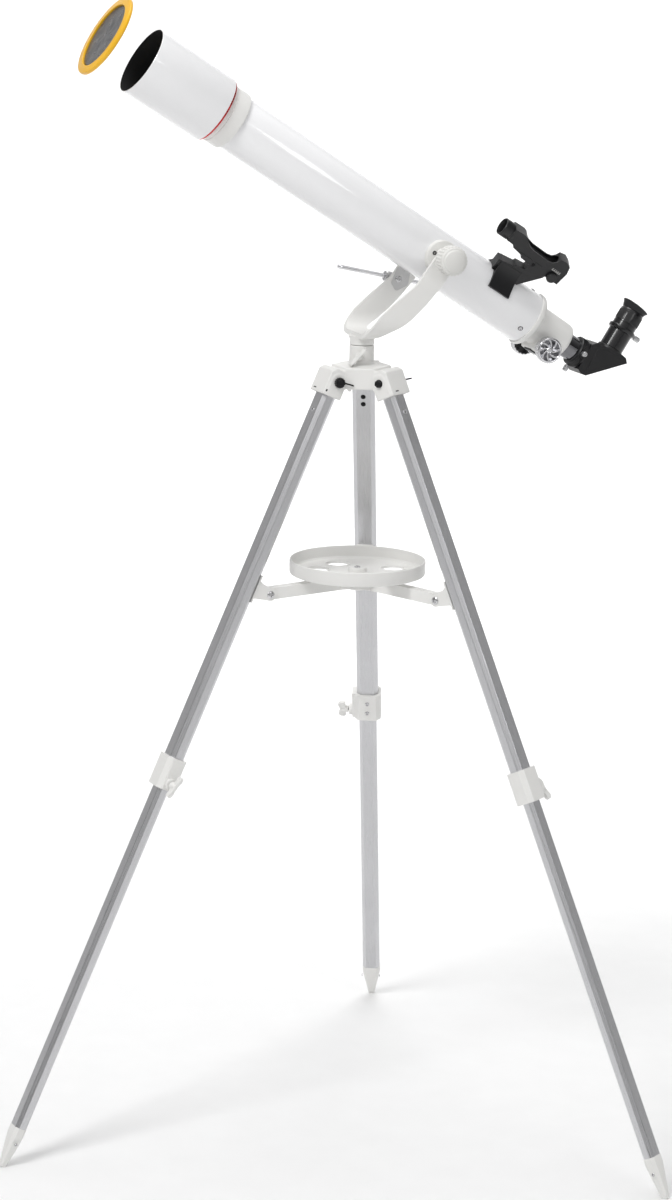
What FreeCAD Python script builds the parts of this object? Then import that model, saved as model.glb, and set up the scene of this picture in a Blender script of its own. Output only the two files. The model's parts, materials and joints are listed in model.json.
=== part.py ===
import FreeCAD, Part
import math
import os
import Sketcher

# A small refracting telescope on a fork mount and a three-legged stand.
# Millimetres, +Z up.  The rear leg points along +Y, and the origin is on the floor at the
# middle of the footprint.  Each piece is drawn in the frame of what it belongs to (a leg, a
# spreader arm, the fork, the tube or the finder) and is then placed in the object's frame.

DIMENSIONS = {
    # stand
    "splay_angle": 24.25, "pivot_radius": 44.0, "pivot_height": 1060.0, "leg_reach": 1163.6,
    "upper_width": 31.0, "upper_depth": 21.0, "upper_chamfer": 5.5, "upper_end": 580.0,
    "upper_top": 10.0, "lower_width": 25.5, "lower_depth": 17.0, "lower_chamfer": 4.5,
    "lower_top": 525.0, "lower_end": 1104.0, "leg_wall": 1.5, "bolt_radius": 3.0,
    "clamp_top": 555.0, "clamp_end": 600.0, "clamp_width": 39.0, "clamp_depth": 29.0,
    "clamp_screw_depth": 590.0, "screw_radius": 2.5, "bracket_depth": 301.0,
    "bracket_offset": 35.1, "arm_height": 15.0, "arm_width": 14.0, "arm_root_radius": 22.0,
    "arm_root_height": 777.2, "tray_radius": 94.0, "tray_base": 789.0, "tray_rim": 20.0,
    "tray_wall": 2.0, "tray_floor": 3.0, "tray_hole_radius": 16.0, "tray_hole_pitch": 55.0,
    # mount
    "yoke_half": 21.0, "hub_base": 1050.0, "hub_top": 1075.0, "column_top": 1107.0,
    "column_radius": 16.0, "spigot_radius": 10.0, "fork_base": 1118.0, "fork_half": 50.0,
    "arm_wall": 5.0, "fork_setback": 99.4, "altitude_height": 1226.7, "fork_top_radius": 15.0,
    "stud_radius": 4.0, "heading": 205.5, "tube_tilt": 32.4,
    # slow motion rod, in the tube's frame: its swivel on the fork and its pivot on the tube
    "swivel_ahead": 5.0, "swivel_below": 48.0, "rod_pivot_behind": 34.9,
    "rod_pivot_below": 33.3, "rod_side": 59.0, "rod_radius": 3.0, "rod_reach": 128.5,
    # tube
    "tube_radius": 37.5, "tube_wall": 1.3, "tube_front": 342.0, "tube_back": 169.0,
    "cell_radius": 41.0, "cell_front": 369.7, "lens_radius": 35.0, "ring_radius": 45.5,
    "ring_front": 372.2, "shield_radius": 47.3, "shield_wall": 1.5, "shield_front": 492.2,
    "filter_radius": 57.8, "filter_bore": 46.0, "filter_back": 547.5, "filter_front": 553.5,
    # focuser and eyepiece end
    "housing_radius": 26.0, "housing_end": 237.0, "drawtube_radius": 17.1,
    "drawtube_bore": 15.95, "drawtube_front": 110.0, "drawtube_end": 256.0,
    "collar_radius": 22.0, "collar_end": 268.0, "pinion_behind": 205.0, "pinion_below": 24.4,
    "focus_knob_radius": 17.0, "barrel_radius": 15.875, "eyepiece_behind": 306.0,
    "diagonal_half": 19.0, "finder_roll": 30.0, "finder_axis": 93.0,
}

SHEET = "Dimensions"
LEG_ANGLES = {"rear": 90.0, "left": 210.0, "right": 330.0}
TRAY_HOLE_ANGLES = (30.0, 124.0, 176.0, 244.0, 296.0)
RUNNING = 0.05  # radial clearance of a shaft that turns or slides
PINION_TEETH = 10
RACK_TEETH = 34
RACK_TEETH_BEHIND = 8  # teeth on the eyepiece side of the pinion

doc = FreeCAD.newDocument("telescope")
sheet = doc.addObject("Spreadsheet::Sheet", SHEET)
for row, (alias, number) in enumerate(DIMENSIONS.items(), start=1):
    sheet.set(f"A{row}", alias)
    sheet.set(f"B{row}", str(number))
    sheet.setAlias(f"B{row}", alias)
doc.recompute()


class Size:
    """A length that carries both its number and the sheet formula it comes from."""

    def __init__(self, number, text):
        self.number = float(number)
        self.text = text

    def __add__(self, other):
        other = as_size(other)
        return Size(self.number + other.number, f"({self.text} + {other.text})")

    def __sub__(self, other):
        other = as_size(other)
        return Size(self.number - other.number, f"({self.text} - {other.text})")

    def __mul__(self, factor):
        return Size(self.number * factor, f"({self.text} * {factor:.6f})")

    def __radd__(self, other):
        return as_size(other) + self

    def __rsub__(self, other):
        return as_size(other) - self

    def __neg__(self):
        return self * -1.0

    __rmul__ = __mul__


def as_size(value):
    """A plain number as a Size, and a Size unchanged."""
    return value if isinstance(value, Size) else Size(value, f"{value:.4f}")


def dim(alias):
    """One driving dimension from the sheet."""
    return Size(sheet.get(alias), f"{SHEET}.{alias}")


def bind(item, prop, value):
    """Set a length of a document object and bind it to the sheet."""
    value = as_size(value)
    setattr(item, prop, value.number)
    if SHEET in value.text:
        item.setExpression(prop, value.text)


# ---------------------------------------------------------------- frames

AXES = {
    "X": FreeCAD.Rotation(FreeCAD.Vector(0, 0, 1), FreeCAD.Vector(1, 0, 0)),
    "-X": FreeCAD.Rotation(FreeCAD.Vector(0, 0, 1), FreeCAD.Vector(-1, 0, 0)),
    "Y": FreeCAD.Rotation(FreeCAD.Vector(0, 0, 1), FreeCAD.Vector(0, 1, 0)),
    "-Y": FreeCAD.Rotation(FreeCAD.Vector(0, 0, 1), FreeCAD.Vector(0, -1, 0)),
    "Z": FreeCAD.Rotation(),
    "-Z": FreeCAD.Rotation(FreeCAD.Vector(1, 0, 0), 180),
}


def vector(x, y, z):
    """A vector from sizes or plain numbers."""
    return FreeCAD.Vector(as_size(x).number, as_size(y).number, as_size(z).number)


def polar(radius, angle, height=0.0):
    """A point at an angle (degrees) about the stand's axis."""
    turn = math.radians(angle)
    reach = as_size(radius).number
    return vector(reach * math.cos(turn), reach * math.sin(turn), height)


def spot(at, along="Z"):
    """A local placement: a point, and the way that the piece's own Z points."""
    return FreeCAD.Placement(vector(*at), AXES[along])


foot_radius = dim("pivot_radius").number + (
    dim("pivot_height").number * math.tan(math.radians(dim("splay_angle").number))
)
STAND = FreeCAD.Placement(vector(0, -foot_radius / 4, 0), FreeCAD.Rotation())


def leg_frame(angle):
    """Origin at the leg's pivot, Z up the leg, Y outward from its face, X across it."""
    splay = math.radians(dim("splay_angle").number)
    outward = polar(1.0, angle)
    upward = vector(0, 0, 1)
    face = outward * math.cos(splay) + upward * math.sin(splay)
    length = upward * math.cos(splay) - outward * math.sin(splay)
    turn = FreeCAD.Rotation(face.cross(length), face, length, "ZXY")
    origin = polar(dim("pivot_radius"), angle, dim("pivot_height"))
    return STAND.multiply(FreeCAD.Placement(origin, turn))


def radial_frame(angle):
    """Origin on the floor at the stand's axis, X outward at an angle, Z up."""
    return STAND.multiply(FreeCAD.Placement(vector(0, 0, 0), FreeCAD.Rotation(angle, 0, 0)))


FORK = radial_frame(dim("heading").number)
TUBE = FORK.multiply(
    FreeCAD.Placement(
        vector(-dim("fork_setback"), 0, dim("altitude_height")),
        FreeCAD.Rotation(FreeCAD.Vector(0, 1, 0), -dim("tube_tilt").number),
    )
)
FINDER = TUBE.multiply(
    FreeCAD.Placement(
        vector(0, 0, 0),
        FreeCAD.Rotation(FreeCAD.Vector(1, 0, 0), -dim("finder_roll").number),
    )
)


# ---------------------------------------------------------------- drawing helpers


def origin_plane(body, role):
    """One of a body's own origin planes."""
    return next(f for f in body.Origin.OriginFeatures if f.Role == role)


def draw_outline(sketch, points):
    """Add a closed polygon whose corners are held to the sketch's origin by the sheet."""
    count = len(points)
    first = sketch.GeometryCount
    corners = [(as_size(x), as_size(y)) for x, y in points]
    for index in range(count):
        start, end = corners[index], corners[(index + 1) % count]
        sketch.addGeometry(
            Part.LineSegment(
                vector(start[0], start[1], 0),
                vector(end[0], end[1], 0),
            )
        )
    for index in range(count):
        following = first + (index + 1) % count
        sketch.addConstraint(Sketcher.Constraint("Coincident", first + index, 2, following, 1))
    for index, corner in enumerate(corners):
        for kind, value in zip(("DistanceX", "DistanceY"), corner):
            hold_corner(sketch, kind, first + index, value)


def hold_corner(sketch, kind, line, value):
    """Hold one coordinate of a line's start point, on the axis itself where it is zero."""
    if abs(value.number) < 1e-9:
        axis = -2 if kind == "DistanceX" else -1
        sketch.addConstraint(Sketcher.Constraint("PointOnObject", line, 1, axis))
        return
    place = sketch.addConstraint(Sketcher.Constraint(kind, -1, 1, line, 1, value.number))
    if SHEET in value.text:
        sketch.setExpression(f"Constraints[{place}]", value.text)


def draw_circle(sketch, x, y, radius):
    """Add a circle with its centre and radius held by the sheet."""
    x, y, radius = as_size(x), as_size(y), as_size(radius)
    curve = sketch.addGeometry(
        Part.Circle(vector(x, y, 0), FreeCAD.Vector(0, 0, 1), radius.number)
    )
    for kind, value, axis in (("DistanceX", x, -2), ("DistanceY", y, -1)):
        if abs(value.number) < 1e-9:
            sketch.addConstraint(Sketcher.Constraint("PointOnObject", curve, 3, axis))
            continue
        place = sketch.addConstraint(Sketcher.Constraint(kind, -1, 1, curve, 3, value.number))
        if SHEET in value.text:
            sketch.setExpression(f"Constraints[{place}]", value.text)
    place = sketch.addConstraint(Sketcher.Constraint("Radius", curve, radius.number))
    if SHEET in radius.text:
        sketch.setExpression(f"Constraints[{place}]", radius.text)


def new_sketch(body, name, role):
    """A sketch on one of the body's own origin planes."""
    sketch = body.newObject("Sketcher::SketchObject", name + "_sketch")
    sketch.AttachmentSupport = (origin_plane(body, role), [""])
    sketch.MapMode = "FlatFace"
    return sketch


def turned(name, profile, local=None):
    """A solid of revolution about local Z, from a closed profile of (radius, height)."""
    body = doc.addObject("PartDesign::Body", name)
    sketch = new_sketch(body, name, "XZ_Plane")
    draw_outline(sketch, profile)
    turn = body.newObject("PartDesign::Revolution", name + "_turn")
    turn.Profile = sketch
    turn.ReferenceAxis = (sketch, ["V_Axis"])
    turn.Angle = 360.0
    sketch.Visibility = False
    body.Placement = local or FreeCAD.Placement()
    return body


def padded(name, outline, length, local=None, holes=(), inner=None):
    """A prism along local Z, from an outline in XY, with round holes or an inner outline."""
    body = doc.addObject("PartDesign::Body", name)
    sketch = new_sketch(body, name, "XY_Plane")
    draw_outline(sketch, outline)
    if inner:
        draw_outline(sketch, inner)
    for x, y, radius in holes:
        draw_circle(sketch, x, y, radius)
    pad = body.newObject("PartDesign::Pad", name + "_pad")
    pad.Profile = sketch
    bind(pad, "Length", length)
    sketch.Visibility = False
    body.Placement = local or FreeCAD.Placement()
    return body


def cylinder(radius, height, at, along="Z"):
    """A cylinder that starts at a point."""
    item = doc.addObject("Part::Cylinder", "cylinder")
    bind(item, "Radius", radius)
    bind(item, "Height", height)
    item.Placement = spot(at, along)
    return item


def cone(radius_low, radius_high, height, at, along="Z"):
    """A cone that starts at a point."""
    item = doc.addObject("Part::Cone", "cone")
    bind(item, "Radius1", radius_low)
    bind(item, "Radius2", radius_high)
    bind(item, "Height", height)
    item.Placement = spot(at, along)
    return item


def block(low, high):
    """A box between two corners."""
    item = doc.addObject("Part::Box", "block")
    for prop, start, end in zip(("Length", "Width", "Height"), low, high):
        bind(item, prop, as_size(end) - as_size(start))
    item.Placement = spot(low)
    return item


def fuse(*parts):
    """Several solids as one."""
    item = doc.addObject("Part::MultiFuse", "fused")
    item.Shapes = list(parts)
    return item


def group(*parts):
    """Separate solids kept apart in one node."""
    item = doc.addObject("Part::Compound", "group")
    item.Links = list(parts)
    return item


def cut(base, *tools):
    """A solid with one or more others taken out of it."""
    item = doc.addObject("Part::Cut", "cut")
    item.Base = base
    item.Tool = tools[0] if len(tools) == 1 else fuse(*tools)
    return item


def common(base, tool):
    """What two solids share."""
    item = doc.addObject("Part::Common", "common")
    item.Base = base
    item.Tool = tool
    return item


def oblong(width, depth, chamfer):
    """The corners of a leg section: a rectangle with cut corners, about the origin."""
    wide, deep, corner = as_size(width) * 0.5, as_size(depth) * 0.5, as_size(chamfer)
    return [
        (wide, corner - deep), (wide, deep - corner), (wide - corner, deep),
        (corner - wide, deep), (-wide, deep - corner), (-wide, corner - deep),
        (corner - wide, -deep), (wide - corner, -deep),
    ]


def shrunk(width, depth, chamfer, wall):
    """A leg section moved inward by a wall, or outward by a negative one."""
    corner = as_size(chamfer) - as_size(wall) * 0.5858
    return oblong(as_size(width) - as_size(wall) * 2, as_size(depth) - as_size(wall) * 2, corner)


nodes = []


def finish(item, label, frame):
    """Name a finished piece after its node and place it in the object's frame."""
    item.Label = label
    item.Placement = frame.multiply(item.Placement)
    nodes.append(item)
    return item


# ---------------------------------------------------------------- hub and leg pivots

half = dim("yoke_half")
CLEAR = 0.4  # side play between a leg and its yoke
SLOT_ROOF = 15.0
YOKE_END = 22.0
BOLT_ROOM = 8.0  # how far the hub's corners stop short of the bolts


def hub_outline():
    """Six corners of the hub's plan: the two cheeks of each leg's yoke."""
    corners = []
    for angle in sorted(LEG_ANGLES.values()):
        turn = math.radians(angle)
        for side in (-1.0, 1.0):
            across = half * side
            reach = dim("pivot_radius") - BOLT_ROOM
            corners.append(
                (
                    reach * math.cos(turn) - across * math.sin(turn),
                    reach * math.sin(turn) + across * math.cos(turn),
                )
            )
    return corners


def at_leg(item, angle):
    """Move a piece drawn in a leg's frame into the stand's own frame."""
    local = STAND.inverse().multiply(leg_frame(angle))
    item.Placement = local.multiply(item.Placement)
    return item


def make_hub():
    """The casting that the legs hang from, with the column that the fork turns on."""
    base, top = dim("hub_base"), dim("hub_top")
    core = padded("hub_core", hub_outline(), top - base, spot((0, 0, base)))
    column = cylinder(dim("column_radius"), dim("column_top") - base, (0, 0, base))
    skirt = cone(34.0, dim("column_radius"), 6.0, (0, 0, top))
    yokes = [
        at_leg(block((-half, -13.0, -YOKE_END), (half, 15.5, 17.0)), angle)
        for angle in LEG_ANGLES.values()
    ]
    gap = dim("upper_width") * 0.5 + CLEAR
    cuts = [cylinder(dim("spigot_radius"), 80.0, (0, 0, base - 10.0))]
    for angle in LEG_ANGLES.values():
        slot = block((-gap, -17.0, -40.0), (gap, 11.6, SLOT_ROOF))
        bolt_hole = cylinder(dim("bolt_radius") + RUNNING, 60.0, (-30.0, 0, 0), "X")
        cuts += [at_leg(slot, angle), at_leg(bolt_hole, angle)]
    lock_hole = cylinder(dim("screw_radius") + RUNNING, 30.0, (0, 0, 0), "X")
    lock_hole.Placement = lock_frame().multiply(lock_hole.Placement)
    cuts.append(lock_hole)
    trimmed = cut(fuse(core, column, skirt, *yokes), *cuts)
    finish(trimmed, "tripod_hub", STAND)


def lock_frame():
    """The azimuth lock screw's line: X outward from the column at the front."""
    return FreeCAD.Placement(vector(0, 0, 1093.0), FreeCAD.Rotation(263.0, 0, 0))


def hexagon(radius):
    """The corners of a hexagon."""
    return [
        (radius * math.cos(math.radians(60 * k)), radius * math.sin(math.radians(60 * k)))
        for k in range(6)
    ]


def make_pivot_fasteners():
    """The three leg pivot bolts, and the wing nuts that hold them."""
    bolts, nuts = [], []
    for angle in LEG_ANGLES.values():
        shank = cylinder(dim("bolt_radius"), 52.0, (-28.0, 0, 0), "X")
        head = padded("bolt_head", hexagon(5.8), 4.0, spot((21.0, 0, 0), "X"))
        bolts.append(at_leg(fuse(shank, head), angle))
        boss = cylinder(6.0, 6.0, (-27.0, 0, 0), "X")
        wing = block((-29.0, -2.0, -13.0), (-23.5, 2.0, 13.0))
        bore = cylinder(dim("bolt_radius") + RUNNING, 14.0, (-34.0, 0, 0), "X")
        nuts.append(at_leg(cut(fuse(boss, wing), bore), angle))
    finish(group(*bolts), "leg_pivot_bolts", STAND)
    finish(group(*nuts), "leg_wing_nuts", STAND)


def wing_knob(tip, root, reach):
    """A thumb screw along -X: a plain shank, a round boss and a flat wing across it."""
    shank = cylinder(dim("screw_radius"), root - tip + 4.0, (-tip, 0, 0), "-X")
    boss = cylinder(5.0, 10.0, (-root, 0, 0), "-X")
    wing = block((-root - 15.0, -2.5, -reach), (-root - 4.0, 2.5, reach))
    return fuse(shank, boss, wing)


def make_azimuth_lock():
    """The thumb screw in the column that holds the fork's spigot."""
    knob = wing_knob(10.3, 18.0, 11.0)
    turn = FreeCAD.Placement(vector(0, 0, 0), FreeCAD.Rotation(FreeCAD.Vector(1, 0, 0), -40.0))
    flip = FreeCAD.Placement(vector(0, 0, 0), FreeCAD.Rotation(180.0, 0, 0))
    knob.Placement = lock_frame().multiply(turn).multiply(flip)
    finish(knob, "azimuth_lock_knob", STAND)


# ---------------------------------------------------------------- legs


def make_leg(side, angle):
    """One leg: both tubes, the clamp and its knob, the foot and the spreader's bracket."""
    frame = leg_frame(angle)
    outer = (dim("upper_width"), dim("upper_depth"), dim("upper_chamfer"))
    upper = padded(
        "upper_leg", oblong(*outer), dim("upper_end") + dim("upper_top"),
        spot((0, 0, -dim("upper_end"))), inner=shrunk(*outer, dim("leg_wall")),
    )
    bolt_hole = cylinder(dim("bolt_radius") + RUNNING, 40.0, (-20.0, 0, 0), "X")
    finish(cut(upper, bolt_hole), f"upper_leg_{side}", frame)

    slim = (dim("lower_width"), dim("lower_depth"), dim("lower_chamfer"))
    lower = padded(
        "lower_leg", oblong(*slim), dim("lower_end") - dim("lower_top"),
        spot((0, 0, -dim("lower_end"))), inner=shrunk(*slim, dim("leg_wall")),
    )
    finish(lower, f"lower_leg_{side}", frame)

    make_clamp(side, frame)
    make_foot(side, frame)
    make_bracket(side, frame)


def make_clamp(side, frame):
    """The collar at the upper leg's end, and the knob that grips the lower leg."""
    upper = (dim("upper_width"), dim("upper_depth"), dim("upper_chamfer"))
    lower = (dim("lower_width"), dim("lower_depth"), dim("lower_chamfer"))
    end, top = dim("clamp_end"), dim("clamp_top")
    shell = padded(
        "clamp", oblong(dim("clamp_width"), dim("clamp_depth"), 6.0), end - top,
        spot((0, 0, -end)),
    )
    boss = cylinder(7.0, 5.0, (-18.5, 0, -dim("clamp_screw_depth")), "-X")
    socket = padded("socket", shrunk(*upper, -0.02), 60.0, spot((0, 0, -dim("upper_end"))))
    guide = padded("guide", shrunk(*lower, -0.3), 60.0, spot((0, 0, -end - 5.0)))
    screw_hole = cylinder(
        dim("screw_radius") + RUNNING, 20.0, (-10.0, 0, -dim("clamp_screw_depth")), "-X"
    )
    finish(cut(fuse(shell, boss), socket, guide, screw_hole), f"leg_clamp_{side}", frame)
    knob = wing_knob(13.1, 29.0, 16.0)
    knob.Placement = spot((0, 0, -dim("clamp_screw_depth")))
    finish(knob, f"clamp_knob_{side}", frame)


PLUG_INSET = 1.6  # how far inside the lower leg's outer faces the foot's plug lies


def make_foot(side, frame):
    """The tapered foot plugged into the lower leg, cut flat where it meets the floor."""
    reach, root = dim("leg_reach"), dim("lower_end")
    tip = turned(
        "foot_tip",
        [(0, -reach), (4.2, -reach), (5.5, 1.6 - reach), (13.6, -root - 12.0),
         (13.6, -root), (0, -root)],
    )
    section = oblong(dim("lower_width"), dim("lower_depth"), dim("lower_chamfer"))
    sleeve = padded("foot_sleeve", section, 62.0, spot((0, 0, -root - 62.0)))
    inside = shrunk(dim("lower_width"), dim("lower_depth"), dim("lower_chamfer"), PLUG_INSET)
    plug = padded("foot_plug", inside, 25.0, spot((0, 0, -root - 1.0)))
    touch = frame.multVec(vector(0, 0, -reach))
    floor = block((touch.x - 40.0, touch.y - 40.0, -30.0), (touch.x + 40.0, touch.y + 40.0, 0))
    floor.Placement = frame.inverse().multiply(floor.Placement)
    finish(cut(fuse(common(tip, sleeve), plug), floor), f"foot_{side}", frame)


def make_bracket(side, frame):
    """The two-eared bracket on the leg's inner face, and the pin through its ears."""
    face = dim("upper_depth") * 0.5
    deep, out = dim("bracket_depth"), dim("bracket_offset")
    base = block((-12.0, -face - 2.5, -deep - 20.0), (12.0, -face, -deep + 20.0))
    ears = []
    for low in (-11.0, 8.0):
        ears.append(block((low, -out, -deep - 9.0), (low + 3.0, -face - 1.0, -deep + 9.0)))
        ears.append(cylinder(9.0, 3.0, (low, -out, -deep), "X"))
    holes = cylinder(dim("screw_radius") + RUNNING, 30.0, (-15.0, -out, -deep), "X")
    plate = cut(fuse(base, *ears), holes)
    pin = fuse(
        cylinder(dim("screw_radius"), 25.0, (-12.5, -out, -deep), "X"),
        cylinder(4.2, 2.2, (11.2, -out, -deep), "X"),
        cylinder(4.2, 2.2, (-13.4, -out, -deep), "X"),
    )
    finish(group(plate, pin), f"leg_bracket_{side}", frame)


# ---------------------------------------------------------------- spreader and tray


def bracket_point():
    """Radius and height of the pin in a leg's bracket, about the stand's axis."""
    pin = vector(0, -dim("bracket_offset"), -dim("bracket_depth"))
    place = STAND.inverse().multVec(leg_frame(0.0).multVec(pin))
    return place.x, place.z


def make_spreader():
    """Three arms from the leg brackets to a hub under the tray."""
    reach, height = bracket_point()
    root, rise = dim("arm_root_radius"), dim("arm_root_height")
    run = math.hypot(reach - root.number, rise.number - height)
    fall = math.degrees(math.asin((rise.number - height) / run))
    half_high, half_wide = dim("arm_height") * 0.5, dim("arm_width") * 0.5
    for side, angle in LEG_ANGLES.items():
        bar = fuse(
            block((0, -half_wide, -half_high), (run + 3.0, half_wide, half_high)),
            cylinder(half_high, dim("arm_width"), (0, -half_wide, 0), "Y"),
            cylinder(half_high, dim("arm_width"), (run + 3.0, -half_wide, 0), "Y"),
        )
        channel = block((14.0, -5.0, -half_high - 1.0), (run - 16.0, 5.0, 5.0))
        root_hole = cylinder(dim("screw_radius") + RUNNING, 30.0, (0, -15.0, 0), "Y")
        slot = block((run - 6.5, -15.0, -5.4), (run + 7.0, 15.0, 5.4))
        arm = cut(bar, channel, root_hole, slot)
        arm.Placement = FreeCAD.Placement(
            vector(root, 0, rise), FreeCAD.Rotation(FreeCAD.Vector(0, 1, 0), fall)
        )
        finish(arm, f"spreader_arm_{side}", radial_frame(angle))
    make_spreader_hub(root, rise)


def make_spreader_hub(root, rise):
    """The hub that the arms hinge on, with its three pins."""
    base = dim("tray_base")
    half_wide = dim("arm_width") * 0.5
    solids = [cylinder(13.6, base - 767.0, (0, 0, 767.0)),
              cylinder(30.0, 2.0, (0, 0, base - 2.0))]
    holes, pins = [], []
    for angle in LEG_ANGLES.values():
        turn = FreeCAD.Placement(vector(0, 0, 0), FreeCAD.Rotation(angle, 0, 0))
        for low in (-half_wide - 3.3, half_wide + 0.3):
            ear = block((8.0, low, 769.5), (root + 7.5, low + 3.0, base - 1.0))
            ear.Placement = turn.multiply(ear.Placement)
            solids.append(ear)
        hole = cylinder(dim("screw_radius"), 24.0, (root, -12.0, rise), "Y")
        pin = cylinder(dim("screw_radius"), 21.0, (root, -10.5, rise), "Y")
        for item in (hole, pin):
            item.Placement = turn.multiply(item.Placement)
        holes.append(hole)
        pins.append(pin)
    finish(group(cut(fuse(*solids), *holes), *pins), "spreader_hub", STAND)


def make_tray():
    """The round accessory tray, with holes for spare eyepieces."""
    radius, base, wall = dim("tray_radius"), dim("tray_base"), dim("tray_wall")
    floor, rim = base + dim("tray_floor"), base + dim("tray_rim")
    dish = turned(
        "tray_dish",
        [(0, base), (radius - 3.0, base), (radius, base + 3.0), (radius, rim),
         (radius - wall, rim), (radius - wall, floor + 2.0), (radius - wall - 2.0, floor),
         (11.3, floor), (11.3, floor + 4.0), (9.8, floor + 5.5), (0, floor + 5.5)],
    )
    holes = [
        cylinder(dim("tray_hole_radius"), 12.0,
                 tuple(polar(dim("tray_hole_pitch"), angle, base - 4.0)))
        for angle in TRAY_HOLE_ANGLES
    ]
    finish(cut(dish, *holes), "accessory_tray", STAND)


# ---------------------------------------------------------------- fork mount


def fork_side_outline():
    """The arms' side view, as (ahead of the azimuth axis, height)."""
    base, axis, back = dim("fork_base"), dim("altitude_height"), dim("fork_setback")
    return [
        (12.0, base), (10.0, base + 9.0), (4.0, base + 18.0), (-6.0, base + 33.0),
        (-24.0, base + 51.0), (-53.0, base + 74.5), (11.0 - back, axis + 9.5),
        (-back - 11.0, axis - 9.5), (-99.0, base + 76.0), (-89.0, base + 65.0),
        (-72.0, base + 46.0), (-54.0, base + 29.0), (-39.0, base + 18.0),
        (-22.0, base + 9.5), (-8.0, base + 2.0), (0, base),
    ]


def make_fork():
    """The fork: its side view shared with a round-bottomed U, on a collar and a spigot."""
    wide, wall = dim("fork_half"), dim("arm_wall")
    base, axis, back = dim("fork_base"), dim("altitude_height"), dim("fork_setback")
    side = padded("fork_side", fork_side_outline(), wide * 2, spot((0, wide, 0)))
    side.Placement = FreeCAD.Placement(
        vector(0, wide, 0), FreeCAD.Rotation(FreeCAD.Vector(1, 0, 0), 90.0)
    )
    ends = cylinder(dim("fork_top_radius"), wide * 2, (-back, -wide, axis), "Y")
    outer = rounded_trough(wide, base, 26.0)
    inner = rounded_trough(wide - wall, base + 7.0, 21.0)
    arms = cut(common(fuse(side, ends), outer), inner)
    collar = cylinder(dim("column_radius") - 0.5, base - dim("column_top") + 3.0,
                      (0, 0, dim("column_top") + 0.3))
    spigot = cylinder(dim("spigot_radius") - RUNNING, 52.0, (0, 0, dim("column_top") - 50.0))
    screw_hole = cylinder(2.0, 46.0, (0, 0, dim("column_top") - 55.0))
    pivots = cylinder(dim("stud_radius") + RUNNING, 120.0, (-back, -60.0, axis), "Y")
    swivel = swivel_point()
    swivel_hole = cylinder(dim("screw_radius") + RUNNING, 20.0,
                           (swivel.x, -60.0, swivel.z), "Y")
    finish(cut(fuse(arms, collar, spigot), screw_hole, pivots, swivel_hole),
           "fork_mount", FORK)
    bolt = fuse(
        cylinder(2.0, 44.0, (0, 0, dim("column_top") - 54.0)),
        cylinder(9.0, 2.0, (0, 0, dim("column_top") - 52.4)),
        cylinder(4.5, 4.0, (0, 0, dim("column_top") - 56.0)),
    )
    finish(bolt, "azimuth_bolt", FORK)


def rounded_trough(wide, base, radius):
    """A long block with its two lower edges rounded."""
    slab = block((-160.0, -wide, base), (60.0, wide, base + 160.0))
    doc.recompute()
    low = as_size(base).number
    edges = [
        number
        for number, edge in enumerate(slab.Shape.Edges, start=1)
        if edge.BoundBox.ZMax < low + 0.01 and edge.BoundBox.XLength > 100.0
    ]
    rounding = doc.addObject("Part::Fillet", "trough")
    rounding.Base = slab
    rounding.Edges = [(number, radius, radius) for number in edges]
    return rounding


def swivel_point():
    """Where the rod's clamp swivels on the far arm, in the fork's frame."""
    local = vector(dim("swivel_ahead"), 0, -dim("swivel_below"))
    return FORK.inverse().multVec(TUBE.multVec(local))


def make_altitude_knobs():
    """The knobs that clamp the tube between the arms, and the discs on the tube."""
    axis, back = dim("altitude_height"), dim("fork_setback")
    wide = dim("fork_half")
    for side, sign, along in (("left", 1.0, "Y"), ("right", -1.0, "-Y")):
        cap = turned(
            "cap",
            [(0, 0.3), (13.0, 0.3), (13.0, 6.0), (19.0, 6.0), (20.0, 7.0), (20.0, 24.0),
             (18.0, 26.5), (13.5, 26.5), (13.0, 27.5), (0, 27.5)],
        )
        stud = cylinder(dim("stud_radius"), 12.5, (0, 0, -11.0))
        knob = fuse(cap, stud)
        knob.Placement = spot((-back, wide * sign, axis), along)
        finish(knob, f"altitude_knob_{side}", FORK)
    discs = []
    for sign, along in ((1.0, "Y"), (-1.0, "-Y")):
        disc = cylinder(21.5, wide - dim("arm_wall") - 30.4, (0, 30.0 * sign, 0), along)
        screw_bore = cylinder(dim("stud_radius") + RUNNING, 60.0, (0, 0, 0), along)
        saddle = cylinder(dim("tube_radius"), 80.0, (-40.0, 0, 0), "X")
        discs.append(cut(disc, saddle, screw_bore))
    finish(group(*discs), "side_discs", TUBE)


# ---------------------------------------------------------------- slow motion rod


def rod_frame():
    """Origin at the rod's pivot on the tube, X along the rod towards its free end."""
    pivot = vector(-dim("rod_pivot_behind"), -dim("rod_side"), -dim("rod_pivot_below"))
    swivel = vector(dim("swivel_ahead"), -dim("rod_side"), -dim("swivel_below"))
    along = swivel - pivot
    angle = math.degrees(math.atan2(-along.z, along.x))
    turn = FreeCAD.Rotation(FreeCAD.Vector(0, 1, 0), angle)
    return TUBE.multiply(FreeCAD.Placement(pivot, turn)), along.Length


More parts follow.
